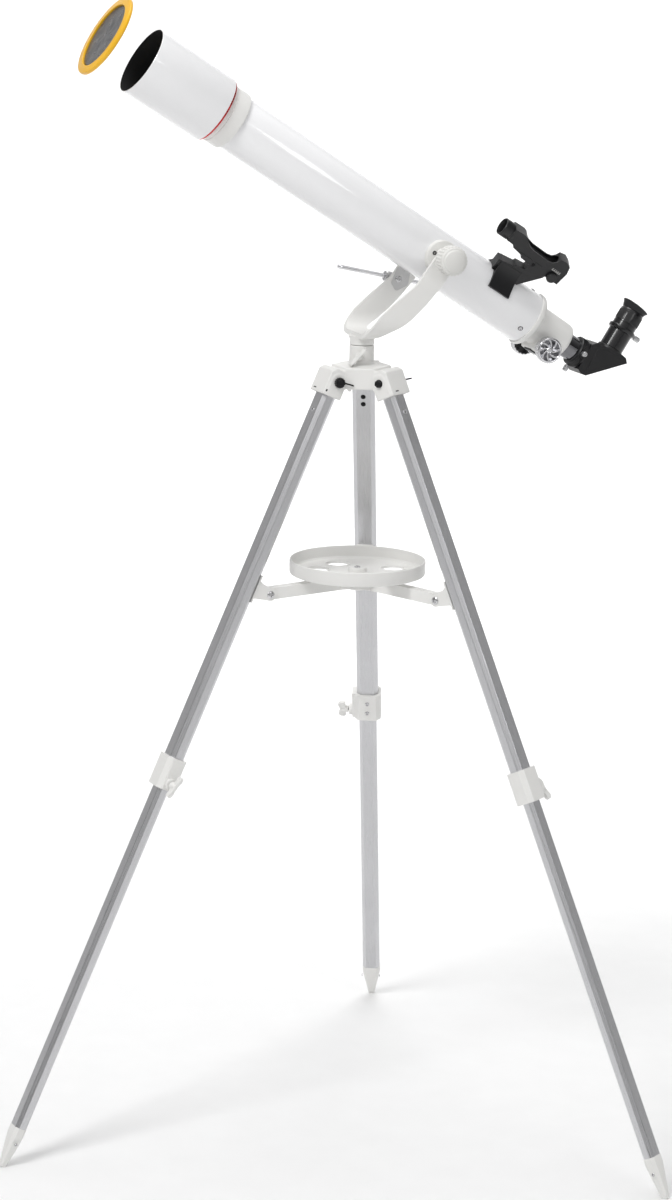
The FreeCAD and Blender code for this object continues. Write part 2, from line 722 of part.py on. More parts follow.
def make_slow_motion():
    """The rod, the clamp that it runs through and its bracket under the tube."""
    frame, gap = rod_frame()
    eye = cut(
        cylinder(6.0, 5.0, (0, -2.5, 0), "Y"),
        cylinder(dim("screw_radius") + RUNNING, 12.0, (0, -6.0, 0), "Y"),
    )
    shaft = cylinder(dim("rod_radius"), dim("rod_reach") - 5.0, (5.0, 0, 0), "X")
    finish(fuse(eye, shaft), "slow_motion_rod", frame)

    body = block((gap - 8.0, -8.0, -7.0), (gap + 8.0, 5.5, 7.0))
    passage = cylinder(dim("rod_radius") + 0.35, 40.0, (gap - 20.0, 0, 0), "X")
    bolt_hole = cylinder(dim("screw_radius"), 10.0, (gap, 4.5, 0), "Y")
    bolt = fuse(
        cylinder(dim("screw_radius"), 11.5, (gap, 4.5, 0), "Y"),
        cylinder(4.0, 2.4, (gap, 14.4, 0), "Y"),
    )
    finish(group(cut(body, passage, bolt_hole), bolt), "rod_clamp", frame)

    x, z, side = -dim("rod_pivot_behind"), -dim("rod_pivot_below"), dim("rod_side")
    lug = fuse(
        block((x - 6.0, 3.5 - side, z - 6.0), (x + 6.0, 6.5 - side, z + 6.0)),
        block((x - 6.0, 6.0 - side, z + 1.5), (x + 3.0, -12.0, z + 4.5)),
        cylinder(dim("screw_radius"), 12.5, (x, 5.0 - side, z), "-Y"),
        cylinder(4.2, 2.0, (x, -side - 3.2, z), "-Y"),
    )
    saddle = cylinder(dim("tube_radius"), 80.0, (x - 40.0, 0, 0), "X")
    finish(cut(lug, saddle), "rod_bracket", TUBE)


# ---------------------------------------------------------------- optical tube


def along_tube(name, profile):
    """A turned piece of the tube, its profile given as (radius, distance ahead)."""
    return turned(name, profile, spot((0, 0, 0), "X"))


TUBE_SCREW_TURNS = (-32.0, 88.0, 208.0)
TUBE_SCREW_IN = 12.5  # from the tube's back end


def about_tube(item, turn):
    """Turn a piece drawn above the tube's axis to an angle about it."""
    item.Placement = FreeCAD.Placement(
        vector(0, 0, 0), FreeCAD.Rotation(FreeCAD.Vector(1, 0, 0), turn - 90.0)
    ).multiply(item.Placement)
    return item


def make_tube():
    """The tube, the objective in its cell, the trim ring and the dew shield."""
    radius, wall = dim("tube_radius"), dim("tube_wall")
    front, back = dim("tube_front"), dim("tube_back")
    inside = radius - wall
    skin = along_tube(
        "tube", [(inside, -back), (radius, -back), (radius, front), (inside, front)]
    )
    screw_holes = [
        about_tube(cylinder(1.5, 6.0, (TUBE_SCREW_IN - back, 0, inside - 2.0)), turn)
        for turn in TUBE_SCREW_TURNS
    ]
    finish(cut(skin, *screw_holes), "main_tube", TUBE)
    cell, cell_front, lens = dim("cell_radius"), dim("cell_front"), dim("lens_radius")
    finish(
        along_tube(
            "cell",
            [(33.5, front - 12.0), (inside - 0.05, front - 12.0), (inside - 0.05, front),
             (cell - 1.0, front), (cell, front + 1.0), (cell, cell_front),
             (lens + 0.05, cell_front), (lens + 0.05, front + 8.0), (33.5, front + 8.0)],
        ),
        "objective_cell", TUBE,
    )
    seat = front + 8.2
    crown = along_tube(
        "crown",
        [(0, seat + 6.4), (12.0, seat + 6.2), (24.0, seat + 5.7), (lens, seat + 4.8),
         (lens, seat + 9.0), (24.0, seat + 11.6), (12.0, seat + 12.9), (0, seat + 13.4)],
    )
    flint = along_tube(
        "flint",
        [(0, seat + 0.8), (12.0, seat + 0.6), (24.0, seat + 0.3), (lens, seat),
         (lens, seat + 4.3), (24.0, seat + 5.2), (12.0, seat + 5.7), (0, seat + 5.9)],
    )
    finish(group(crown, flint), "objective_lens", TUBE)
    ring, ring_front = dim("ring_radius"), dim("ring_front")
    finish(
        along_tube("ring", [(36.0, cell_front), (ring, cell_front), (ring, ring_front),
                            (36.0, ring_front)]),
        "accent_ring", TUBE,
    )
    shield, thin, mouth = dim("shield_radius"), dim("shield_wall"), dim("shield_front")
    finish(
        along_tube(
            "shield",
            [(36.0, ring_front), (shield - 1.0, ring_front), (shield, ring_front + 1.0),
             (shield, mouth), (shield - thin, mouth), (shield - thin, ring_front + 3.0),
             (36.0, ring_front + 3.0)],
        ),
        "dew_shield", TUBE,
    )


def make_solar_filter():
    """The front solar filter: a film held in a flat ring."""
    back, front = dim("filter_back"), dim("filter_front")
    outer, inner = dim("filter_radius"), dim("filter_bore")
    finish(
        along_tube(
            "filter_ring",
            [(inner, back), (outer - 1.5, back), (outer, back + 1.5), (outer, front - 1.5),
             (outer - 1.5, front), (inner, front)],
        ),
        "solar_filter_frame", TUBE,
    )
    middle = (back + front) * 0.5
    finish(
        along_tube(
            "film",
            [(0, middle - 0.3), (inner, middle - 0.3), (inner, middle + 0.3),
             (0, middle + 0.3)],
        ),
        "solar_film", TUBE,
    )


# ---------------------------------------------------------------- focuser


def make_focuser():
    """The focuser's housing, its screws, the rack drawtube, the pinion and the knobs."""
    back, end = dim("tube_back"), dim("housing_end")
    slim, bore = dim("housing_radius"), dim("drawtube_radius") + RUNNING
    inside = dim("tube_radius") - dim("tube_wall") - RUNNING
    behind, below = dim("pinion_behind"), dim("pinion_below")
    shell = along_tube(
        "housing",
        [(bore, 20.0 - back), (inside, 20.0 - back), (inside, -back), (39.0, -back),
         (39.0, -back - 6.0), (36.0, -back - 9.0), (slim + 2.0, -back - 12.0),
         (slim, -back - 16.0), (slim, 4.0 - end), (slim - 3.0, -end), (bore, -end)],
    )
    boss = block((-behind - 10.0, -22.0, -below - 9.0), (-behind + 10.0, 22.0, -12.0))
    clear_bore = cylinder(bore, 120.0, (-end - 10.0, 0, 0), "X")
    rack_way = block((-end - 1.0, -4.6, -below + 1.6), (22.0 - back, 4.6, 0))
    pinion_well = cylinder(7.0, 9.2, (-behind, -4.6, -below), "Y")
    shaft_hole = cylinder(dim("screw_radius") + RUNNING, 60.0, (-behind, -30.0, -below), "Y")
    lock_hole = cylinder(2.05, 40.0, (-lock_behind(), 0, -10.0), "-Z")
    finish(cut(fuse(shell, boss), clear_bore, rack_way, pinion_well, shaft_hole, lock_hole),
           "focuser_housing", TUBE)

    outside, wall = dim("tube_radius"), dim("tube_wall")
    screws = []
    for turn in TUBE_SCREW_TURNS:
        screw = fuse(cylinder(3.0, 1.6, (TUBE_SCREW_IN - back, 0, outside)),
                     cylinder(1.5, wall + 0.5, (TUBE_SCREW_IN - back, 0, outside - wall)))
        screws.append(about_tube(screw, turn))
    finish(group(*screws), "tube_screws", TUBE)
    make_drawtube()
    make_focus_drive(behind, below)
    lock = fuse(cylinder(2.0, 11.0, (-lock_behind(), 0, -20.3), "-Z"),
                cylinder(4.5, 8.0, (-lock_behind(), 0, -27.5), "-Z"))
    finish(lock, "focus_lock_screw", TUBE)


def lock_behind():
    """How far behind the pivot the focus lock screw sits, between the boss and the end."""
    return dim("housing_end") - 9.0


def make_drawtube():
    """The drawtube with its rack underneath and the clamping collar at its end."""
    outer, inner = dim("drawtube_radius"), dim("drawtube_bore")
    front, end, stop = dim("drawtube_front"), dim("drawtube_end"), dim("collar_end")
    collar = dim("collar_radius")
    sleeve = along_tube(
        "sleeve",
        [(inner, -stop), (collar - 1.0, -stop), (collar, 1.0 - stop), (collar, -end - 1.0),
         (collar - 1.0, -end), (outer, -end), (outer, -front), (inner, -front)],
    )
    pitch = rack_pitch()
    first = -dim("pinion_behind") - pitch * (RACK_TEETH_BEHIND - 0.5)
    teeth = [block((first - 1.0, -4.0, -18.4),
                   (first + pitch * (RACK_TEETH - 1) + 1.0, 4.0, 0.4 - outer))]
    teeth += [rack_tooth(first + pitch * count) for count in range(RACK_TEETH)]
    screw_holes = [
        cylinder(2.05, 12.0, (6.0 - stop, 14.0, 0), "Y"),
        cylinder(2.05, 12.0, (6.0 - stop, 0, -14.0), "-Z"),
    ]
    body = cut(fuse(sleeve, *teeth), *screw_holes)
    finish(body, "drawtube", TUBE)


def rack_pitch():
    """Tooth spacing for a pinion whose pitch circle touches the rack's pitch line."""
    pitch_radius = dim("pinion_below").number - 19.4
    return 2 * math.pi * pitch_radius / PINION_TEETH


def rack_tooth(centre):
    """One rack tooth, thinner than its space so that it never binds."""
    tooth = block((centre - 0.55, -4.0, -20.0), (centre + 0.55, 4.0, -18.2))
    return tooth


def make_focus_drive(behind, below):
    """The toothed pinion on its shaft, and a knob at each end."""
    core = cylinder(4.0, 8.0, (0, -4.0, 0), "Y")
    shaft = cylinder(dim("screw_radius"), 78.0, (0, -39.0, 0), "Y")
    teeth = []
    for count in range(PINION_TEETH):
        tooth = block((-0.6, -4.0, 3.0), (0.6, 4.0, 5.6))
        turn = 360.0 * count / PINION_TEETH
        tooth.Placement = FreeCAD.Placement(
            vector(0, 0, 0), FreeCAD.Rotation(FreeCAD.Vector(0, 1, 0), turn)
        ).multiply(tooth.Placement)
        teeth.append(tooth)
    pinion = fuse(core, shaft, *teeth)
    pinion.Placement = spot((-behind, 0, -below))
    finish(pinion, "focus_pinion", TUBE)
    radius = dim("focus_knob_radius")
    for side, along in (("left", "Y"), ("right", "-Y")):
        knob = turned(
            "focus_knob",
            [(dim("screw_radius"), 30.0), (6.0, 30.0), (6.0, 36.0), (radius - 1.0, 36.0),
             (radius, 37.0), (radius, 47.0), (radius - 1.0, 48.0), (radius - 3.0, 48.0),
             (radius - 3.0, 45.5), (5.0, 45.5), (5.0, 46.5), (0, 46.5), (0, 39.0),
             (dim("screw_radius"), 39.0)],
        )
        knob.Placement = spot((-behind, 0, -below), along)
        finish(knob, f"focus_knob_{side}", TUBE)


# ---------------------------------------------------------------- diagonal and eyepiece

DIAGONAL_FRONT = 268.3


def make_diagonal():
    """The star diagonal: a wedge with a mirror on its back, and a nose in the drawtube."""
    wide, back = dim("diagonal_half"), dim("eyepiece_behind")
    outline = [
        (-DIAGONAL_FRONT, 19.0), (-274.0, 26.0), (-322.0, 30.0), (-330.5, 24.0),
        (-285.0, -22.0), (-271.0, -24.5), (-DIAGONAL_FRONT, -21.0),
    ]
    wedge = padded("wedge", outline, wide * 2)
    wedge.Placement = FreeCAD.Placement(
        vector(0, wide, 0), FreeCAD.Rotation(FreeCAD.Vector(1, 0, 0), 90.0)
    )
    nose = cylinder(dim("barrel_radius"), 36.0, (-DIAGONAL_FRONT - 1.0, 0, 0), "X")
    rim = cylinder(19.0, 9.0, (-back, 0, 22.0))
    light_in = cylinder(14.0, 90.0, (-back + 6.0, 0, 0), "X")
    light_up = cylinder(14.0, 40.0, (-back, 0, 2.0))
    socket = cylinder(dim("barrel_radius") + 0.08, 40.0, (-back, 0, 6.0))
    pocket = mirror_plate(back)
    body = cut(fuse(wedge, nose, rim), light_in, light_up, socket, pocket)
    finish(body, "diagonal_body", TUBE)
    finish(mirror_plate(back), "diagonal_mirror", TUBE)


def mirror_plate(back):
    """The mirror's plate, at 45 degrees to the light."""
    plate = block((-19.0, -13.0, -1.0), (19.0, 13.0, 0.8))
    plate.Placement = FreeCAD.Placement(
        vector(-back + 3.4, 0, -1.6), FreeCAD.Rotation(FreeCAD.Vector(0, 1, 0), 45.0)
    ).multiply(plate.Placement)
    return plate


def thumb_screw(start):
    """A small knurled screw along Z from a start height."""
    return fuse(cylinder(2.0, 9.0, (0, 0, start)), cylinder(3.2, 9.0, (0, 0, start + 6.5)))


def make_collar_screws():
    """The two thumb screws in the drawtube's collar."""
    place = 6.0 - dim("collar_end")
    for name, along in (("side", "Y"), ("lower", "-Z")):
        screw = thumb_screw(16.1)
        screw.Placement = spot((place, 0, 0), along)
        finish(screw, f"collar_screw_{name}", TUBE)


def make_eyepiece():
    """The image-erecting lens, its screw, the eyepiece and the rubber cup."""
    back, barrel = dim("eyepiece_behind"), dim("barrel_radius")
    at = spot((-back, 0, 0))
    erector = turned(
        "erector",
        [(12.5, 14.0), (barrel, 14.0), (barrel, 31.3), (16.4, 31.3), (16.4, 58.0),
         (18.6, 58.5), (18.6, 64.0), (barrel + 0.05, 64.0), (barrel + 0.05, 44.0),
         (12.5, 44.0)],
        at,
    )
    hole = cylinder(2.05, 12.0, (-back - 12.0, 0, 61.2), "-X")
    finish(cut(erector, hole), "erecting_lens", TUBE)
    screw = thumb_screw(16.1)
    screw.Placement = spot((-back, 0, 61.2), "-X")
    finish(screw, "erecting_lens_screw", TUBE)
    eyepiece = turned(
        "eyepiece",
        [(10.0, 44.3), (barrel, 44.3), (barrel, 64.3), (16.6, 64.3), (16.6, 90.0),
         (15.0, 92.0), (10.0, 92.0)],
        at,
    )
    finish(eyepiece, "eyepiece", TUBE)
    cup = turned(
        "cup",
        [(10.0, 92.0), (16.2, 92.0), (18.4, 98.0), (17.6, 98.5), (15.0, 94.0), (10.0, 94.0)],
        at,
    )
    finish(cup, "eyecup", TUBE)


# ---------------------------------------------------------------- finder


SADDLE_SIDE = [
    (-76.0, 30.0), (-74.0, 54.0), (-98.0, 57.5), (-99.0, 61.0), (-113.0, 62.5),
    (-115.0, 71.0), (-143.0, 71.0), (-141.0, 66.0), (-118.0, 34.0), (-114.0, 30.0),
]
SADDLE_END = [
    (-29.5, 20.0), (29.5, 20.0), (33.5, 24.0), (22.0, 35.0), (14.0, 43.0), (10.0, 50.0),
    (9.0, 55.0), (-9.0, 55.0), (-10.0, 50.0), (-14.0, 43.0), (-22.0, 35.0), (-33.5, 24.0),
]
FINDER_SIDE = [
    (-62.0, 104.0), (-80.0, 104.5), (-86.0, 100.0), (-94.0, 94.5), (-138.0, 93.5),
    (-142.0, 105.0), (-152.0, 106.0), (-160.0, 102.5), (-163.0, 91.5), (-162.0, 71.0),
    (-113.0, 71.0), (-94.0, 74.0), (-76.0, 80.0), (-62.0, 82.0),
]


def upright(name, outline, half_wide):
    """A plate of a given half thickness, drawn in side view as (ahead, up)."""
    plate = padded(name, outline, half_wide * 2)
    plate.Placement = FreeCAD.Placement(
        vector(0, half_wide, 0), FreeCAD.Rotation(FreeCAD.Vector(1, 0, 0), 90.0)
    )
    return plate


def make_finder():
    """The red-dot finder on its saddle, with its brightness dial."""
    axis = dim("finder_axis")
    web = upright("saddle_web", SADDLE_SIDE, 9.0)
    flare = padded("saddle_flare", SADDLE_END, 33.0)
    flare.Placement = FreeCAD.Placement(
        vector(-114.0, 0, 0), FreeCAD.Rotation(FreeCAD.Vector(1, 1, 1), 120.0)
    )
    saddle = cut(fuse(web, flare), cylinder(dim("tube_radius"), 90.0, (-150.0, 0, 0), "X"))
    finish(saddle, "finder_saddle", FINDER)
    body = fuse(
        cylinder(12.2, 19.0, (-66.0, 0, axis), "X"),
        upright("finder_side", FINDER_SIDE, 10.5),
    )
    light_way = cylinder(8.5, 130.0, (-170.0, 0, axis), "X")
    trough = block((-139.0, -8.0, axis - 2.0), (-87.0, 8.0, axis + 20.0))
    finish(cut(body, light_way, trough), "finder_body", FINDER)
    finish(cylinder(7.5, 5.0, (-149.0, 10.7, 76.0), "Y"), "finder_dial", FINDER)


# ---------------------------------------------------------------- the whole object

make_hub()
make_pivot_fasteners()
make_azimuth_lock()
for leg_side, leg_angle in LEG_ANGLES.items():
    make_leg(leg_side, leg_angle)
make_spreader()
make_tray()
make_fork()
make_altitude_knobs()
make_slow_motion()
make_tube()
make_solar_filter()
make_focuser()
make_diagonal()
make_collar_screws()
make_eyepiece()
make_finder()
doc.recompute()

for item in doc.Objects:
    if "Invalid" in item.State or "Error" in item.State:
        raise RuntimeError(f"{item.Label} failed: {item.State}")
for item in nodes:
    if item.Shape.isNull() or not item.Shape.isValid() or item.Shape.Volume < 1.0:
        raise RuntimeError(f"{item.Label} has no valid shape")

os.makedirs("parts", exist_ok=True)
for item in nodes:
    item.Shape.exportStep(f"parts/{item.Label}.step")
print(f"{len(nodes)} pieces written")
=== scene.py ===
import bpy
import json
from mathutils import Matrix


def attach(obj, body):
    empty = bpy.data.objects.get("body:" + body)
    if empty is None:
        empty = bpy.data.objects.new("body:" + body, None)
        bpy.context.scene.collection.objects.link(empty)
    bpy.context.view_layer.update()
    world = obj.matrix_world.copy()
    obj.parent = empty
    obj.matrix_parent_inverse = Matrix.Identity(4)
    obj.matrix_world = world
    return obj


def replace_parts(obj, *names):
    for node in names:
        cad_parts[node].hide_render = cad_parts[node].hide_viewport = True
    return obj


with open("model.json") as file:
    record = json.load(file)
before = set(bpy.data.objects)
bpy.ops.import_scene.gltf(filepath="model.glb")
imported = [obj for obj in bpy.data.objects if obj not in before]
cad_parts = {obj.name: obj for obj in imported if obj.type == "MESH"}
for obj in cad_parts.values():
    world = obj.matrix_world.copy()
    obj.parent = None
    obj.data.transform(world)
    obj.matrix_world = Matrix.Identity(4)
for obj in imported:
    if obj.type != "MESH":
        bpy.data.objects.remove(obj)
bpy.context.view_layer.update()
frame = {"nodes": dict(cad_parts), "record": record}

import json
import math

import bmesh
import bpy
from mathutils import Matrix, Vector

# The looks of a small refracting telescope on a fork mount and a folding stand.
# Pieces are drawn in millimetres in the frame of what they belong to, as the design is: a leg
# (origin at its pivot, Z up the leg, Y outward, X across), the fork (origin on the floor under
# the azimuth axis, X ahead, Y left, Z up) and the tube (origin at the altitude axis, X ahead
# along the tube, Y left, Z up).

MM = 0.001
SIDES = ("rear", "left", "right")
JOINTS = {joint["name"]: joint for joint in frame["record"]["behaviour"]["joints"]}

# ---------------------------------------------------------------- frames


def axes_matrix(origin, x, y, z):
    """A placement from an origin and three unit axes."""
    columns = Matrix((x, y, z)).transposed().to_4x4()
    columns.translation = origin
    return columns


def joint_axis(name):
    """A joint's axis in the row frame."""
    return Vector(JOINTS[name]["axis"]).normalized()


def joint_place(name):
    """A point on a hinge's axis in the row frame."""
    return Vector(JOINTS[name]["pos_m"])


def leg_frame(side):
    """The frame of one leg, from its pivot and the way that its lower tube slides."""
    x = -joint_axis(f"leg_fold_{side}")
    z = joint_axis(f"leg_extension_{side}")
    return axes_matrix(joint_place(f"leg_fold_{side}"), x, z.cross(x), z)


def tube_frame():
    """The tube's frame, from the altitude axis and the way that the filter slides."""
    x = joint_axis("solar_filter_slide")
    y = -joint_axis("altitude_tilt")
    return axes_matrix(joint_place("altitude_tilt"), x, y, x.cross(y))


def fork_frame():
    """The fork's frame, on the floor under the azimuth axis."""
    y = -joint_axis("altitude_tilt")
    z = Vector((0, 0, 1))
    origin = joint_place("azimuth_turn").copy()
    origin.z = 0
    return axes_matrix(origin, y.cross(z), y, z)


LEGS = {side: leg_frame(side) for side in SIDES}
TUBE = tube_frame()
FORK = fork_frame()
STAND = Matrix.Translation(FORK.translation)
FINDER_ROLL = 30.0
FINDER = TUBE @ Matrix.Rotation(math.radians(-FINDER_ROLL), 4, "X")


def rod_frame():
    """The slow motion rod's frame: origin at its pivot on the tube, X along the rod."""
    pivot = joint_place("rod_pivot")
    x = (joint_place("rod_clamp_swivel") - pivot).normalized()
    y = -joint_axis("rod_pivot")
    return axes_matrix(pivot, x, y, x.cross(y))


ROD = rod_frame()


def radial_frame(side):
    """Origin on the floor at the stand's axis, X outward along one leg, Z up."""
    outward = LEGS[side].translation - FORK.translation
    return STAND @ Matrix.Rotation(math.atan2(outward.y, outward.x), 4, "Z")


# ---------------------------------------------------------------- mesh building


def along(direction, at=(0, 0, 0)):
    """A matrix in millimetres that turns Z to a direction and moves to a point."""
    turn = Vector(direction).to_track_quat("Z", "Y").to_matrix().to_4x4()
    return Matrix.Translation(Vector(at)) @ turn


def moved(shape, matrix):
    """A (points, faces) shape moved by a matrix in millimetres."""
    points, faces = shape
    return [matrix @ Vector(point) for point in points], faces


def joined(*shapes):
    """Several shapes as one."""
    points, faces = [], []
    for more_points, more_faces in shapes:
        start = len(points)
        points += [Vector(point) for point in more_points]
        faces += [tuple(index + start for index in face) for face in more_faces]
    return points, faces


def soften(outline, radius, steps=4):
    """A closed outline with its corners rounded by arcs."""
    result = []
    count = len(outline)
    for index in range(count):
        here = Vector(outline[index])
        back = Vector(outline[index - 1]) - here
        on = Vector(outline[(index + 1) % count]) - here
        opening = back.angle(on, math.pi)
        if opening > math.radians(172) or min(back.length, on.length) < 1e-6:
            result.append(tuple(here))
            continue
        reach = min(radius / math.tan(opening / 2), back.length * 0.48, on.length * 0.48)
        bend = reach * math.tan(opening / 2)
        first = here + back.normalized() * reach
        last = here + on.normalized() * reach
        middle = (back.normalized() + on.normalized()).normalized()
        centre = here + middle * (bend / math.sin(opening / 2))
        start, end = first - centre, last - centre
        sweep = start.angle_signed(end) if start.length > 1e-9 else 0.0
        for step in range(steps + 1):
            turn = Matrix.Rotation(-sweep * step / steps, 2)
            result.append(tuple(centre + turn @ start))
    return result


def lathe(profile, steps=72):
    """A surface of revolution about Z, from a closed profile of (radius, height)."""
    points, faces, rings = [], [], []
    for radius, height in profile:
        if abs(radius) < 1e-6:
            rings.append([len(points)] * steps)
            points.append(Vector((0, 0, height)))
            continue
        rings.append(list(range(len(points), len(points) + steps)))
        for step in range(steps):
            turn = 2 * math.pi * step / steps
            points.append(Vector((radius * math.cos(turn), radius * math.sin(turn), height)))
    for index, ring in enumerate(rings):
        after = rings[(index + 1) % len(rings)]
        for step in range(steps):
            near = (step + 1) % steps
            face = [ring[step], ring[near], after[near], after[step]]
            face = [value for place, value in enumerate(face) if value not in face[:place]]
            if len(face) > 2:
                faces.append(tuple(face))
    return points, faces


def prism(outline, low, high):
    """An outline in XY carried from one height to another."""
    count = len(outline)
    points = [Vector((x, y, low)) for x, y in outline]
    points += [Vector((x, y, high)) for x, y in outline]
    faces = [tuple(reversed(range(count))), tuple(range(count, 2 * count))]
    for index in range(count):
        near = (index + 1) % count
        faces.append((index, near, near + count, index + count))
    return points, faces


def loft(sections):
    """A closed skin through outlines of the same count, each a list of 3-D points."""
    count = len(sections[0])
    points = [Vector(point) for section in sections for point in section]
    faces = [tuple(reversed(range(count)))]
    faces.append(tuple(range(count * (len(sections) - 1), count * len(sections))))
    for level in range(len(sections) - 1):
        for index in range(count):
            near = (index + 1) % count
            low, high = level * count, (level + 1) * count
            faces.append((low + index, low + near, high + near, high + index))
    return points, faces


def slab(low, high):
    """A box between two corners."""
    outline = [(low[0], low[1]), (high[0], low[1]), (high[0], high[1]), (low[0], high[1])]
    return prism(outline, low[2], high[2])


def disc(radius, low, high, steps=48, edge=0.3):
    """A short cylinder with broken edges."""
    profile = [(0, low), (radius - edge, low), (radius, low + edge)]
    profile += [(radius, high - edge), (radius - edge, high), (0, high)]
    return lathe(profile, steps)


def ring(inner, outer, low, high, steps=72, edge=0.3):
    """A tube with broken edges."""
    corners = [(inner, low), (outer, low), (outer, high), (inner, high)]
    return lathe(soften(corners, edge, 2), steps)


def polygon(radius, count, phase=0.0):
    """A regular polygon's corners."""
    turns = [2 * math.pi * (step + phase) / count for step in range(count)]
    return [(radius * math.cos(turn), radius * math.sin(turn)) for turn in turns]


def lobed(radius, depth, count, steps_each=8, sharpness=1.0):
    """A round outline with evenly spaced shallow flutes."""
    outline = []
    total = count * steps_each
    for step in range(total):
        wave = 0.5 + 0.5 * math.cos(2 * math.pi * step / steps_each)
        reach = radius - depth * (1 - wave) ** sharpness
        turn = 2 * math.pi * step / total
        outline.append((reach * math.cos(turn), reach * math.sin(turn)))
    return outline


def oblong(width, depth, chamfer):
    """A leg's section: a rectangle with cut corners, about the origin."""
    wide, deep = width / 2, depth / 2
    return [
        (wide, chamfer - deep), (wide, deep - chamfer), (wide - chamfer, deep),
        (chamfer - wide, deep), (-wide, deep - chamfer), (-wide, chamfer - deep),
        (chamfer - wide, -deep), (wide - chamfer, -deep),
    ]


# ---------------------------------------------------------------- pieces


def smooth_by_angle(mesh, degrees):
    """Smooth shading that stays crisp over corners sharper than an angle."""
    mesh.polygons.foreach_set("use_smooth", [True] * len(mesh.polygons))
    mesh.set_sharp_from_angle(angle=math.radians(degrees))


def add_bevel(piece, width, segments=2, angle=38.0):
    """Round a piece's corners a little, as a moulding or a machined part has them."""
    bevel = piece.modifiers.new("edges", "BEVEL")
    bevel.width = width * MM
    bevel.segments = segments
    bevel.limit_method = "ANGLE"
    bevel.angle_limit = math.radians(angle)
    bevel.harden_normals = True
    return bevel


def piece(name, shape, place, body, material, bevel=0.0, angle=38.0, cut=()):
    """A mesh object from a shape in millimetres, riding on a body."""
    points, faces = shape
    mesh = bpy.data.meshes.new(name)
    mesh.from_pydata([tuple(point * MM) for point in points], [], faces)
    bm = bmesh.new()
    bm.from_mesh(mesh)
    bmesh.ops.remove_doubles(bm, verts=bm.verts, dist=1e-7)
    bmesh.ops.recalc_face_normals(bm, faces=bm.faces)
    bm.to_mesh(mesh)
    bm.free()
    item = bpy.data.objects.new(name, mesh)
    bpy.context.scene.collection.objects.link(item)
    item.matrix_world = place
    item.data.materials.append(material)
    for number, hole in enumerate(cut):
        carve(item, hole, f"{name}_hole_{number}")
    smooth_by_angle(item.data, angle)
    if bevel:
        add_bevel(item, bevel, angle=angle)
    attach(item, body)
    return item


def carve(item, shape, name):
    """Take a shape, in the same frame, out of a piece for good."""
    points, faces = shape
    mesh = bpy.data.meshes.new(name)
    mesh.from_pydata([tuple(Vector(point) * MM) for point in points], [], faces)
    bm = bmesh.new()
    bm.from_mesh(mesh)
    bmesh.ops.recalc_face_normals(bm, faces=bm.faces)
    bm.to_mesh(mesh)
    bm.free()
    tool = bpy.data.objects.new(name, mesh)
    bpy.context.scene.collection.objects.link(tool)
    tool.matrix_world = item.matrix_world
    bpy.context.view_layer.update()
    hole = item.modifiers.new("hole", "BOOLEAN")
    hole.operation = "DIFFERENCE"
    hole.solver = "EXACT"
    hole.use_self = True
    hole.object = tool
    graph = bpy.context.evaluated_depsgraph_get()
    result = bpy.data.meshes.new_from_object(item.evaluated_get(graph))
    item.modifiers.clear()
    item.data = result
    bpy.data.objects.remove(tool)


# ---------------------------------------------------------------- materials


class Nodes:
    """A short way to write a material's node tree."""

    def __init__(self, name):
        self.material = bpy.data.materials.new(name)
        self.material.use_nodes = True
        self.tree = self.material.node_tree
        self.shader = self.tree.nodes["Principled BSDF"]
        self.coords = self.add("ShaderNodeTexCoord").outputs["Object"]

    def add(self, kind, **values):
        """A node with its inputs set by name."""
        node = self.tree.nodes.new(kind)
        for key, value in values.items():
            node.inputs[key.replace("_", " ")].default_value = value
        return node

    def link(self, start, end):
        """Join two sockets."""
        self.tree.links.new(start, end)

    def noise(self, scale, detail=4.0, stretch=(1, 1, 1), rough=0.55):
        """Noise in the piece's own coordinates, stretched along an axis."""
        mapping = self.add("ShaderNodeMapping")
        mapping.inputs["Scale"].default_value = stretch
        self.link(self.coords, mapping.inputs["Vector"])
        noise = self.add("ShaderNodeTexNoise", Scale=scale, Detail=detail, Roughness=rough)
        self.link(mapping.outputs["Vector"], noise.inputs["Vector"])
        return noise.outputs["Fac"]

    def spread(self, factor, low, high, start=0.3, end=0.7):
        """A factor mapped to a range of numbers."""
        ramp = self.add("ShaderNodeMapRange")
        ramp.inputs["From Min"].default_value = start
        ramp.inputs["From Max"].default_value = end
        ramp.inputs["To Min"].default_value = low
        ramp.inputs["To Max"].default_value = high
        self.link(factor, ramp.inputs["Value"])
        return ramp.outputs["Result"]

    def colours(self, factor, low, high, start=0.3, end=0.7):
        """A factor mapped to a blend of two colours."""
        ramp = self.add("ShaderNodeValToRGB")
        ramp.color_ramp.elements[0].position = start
        ramp.color_ramp.elements[1].position = end
        ramp.color_ramp.elements[0].color = (*low, 1)
        ramp.color_ramp.elements[1].color = (*high, 1)
        self.link(factor, ramp.inputs["Fac"])
        return ramp.outputs["Color"]

    def bump(self, height, strength, distance):
        """Bump from a height, chained before any that is already there."""
        bump = self.add("ShaderNodeBump", Strength=strength, Distance=distance)
        self.link(height, bump.inputs["Height"])
        if self.shader.inputs["Normal"].is_linked:
            earlier = self.shader.inputs["Normal"].links[0].from_socket
            self.link(earlier, bump.inputs["Normal"])
        self.link(bump.outputs["Normal"], self.shader.inputs["Normal"])


def tint(colour, factor):
    """A colour made lighter or darker."""
    return tuple(min(1.0, channel * factor) for channel in colour)


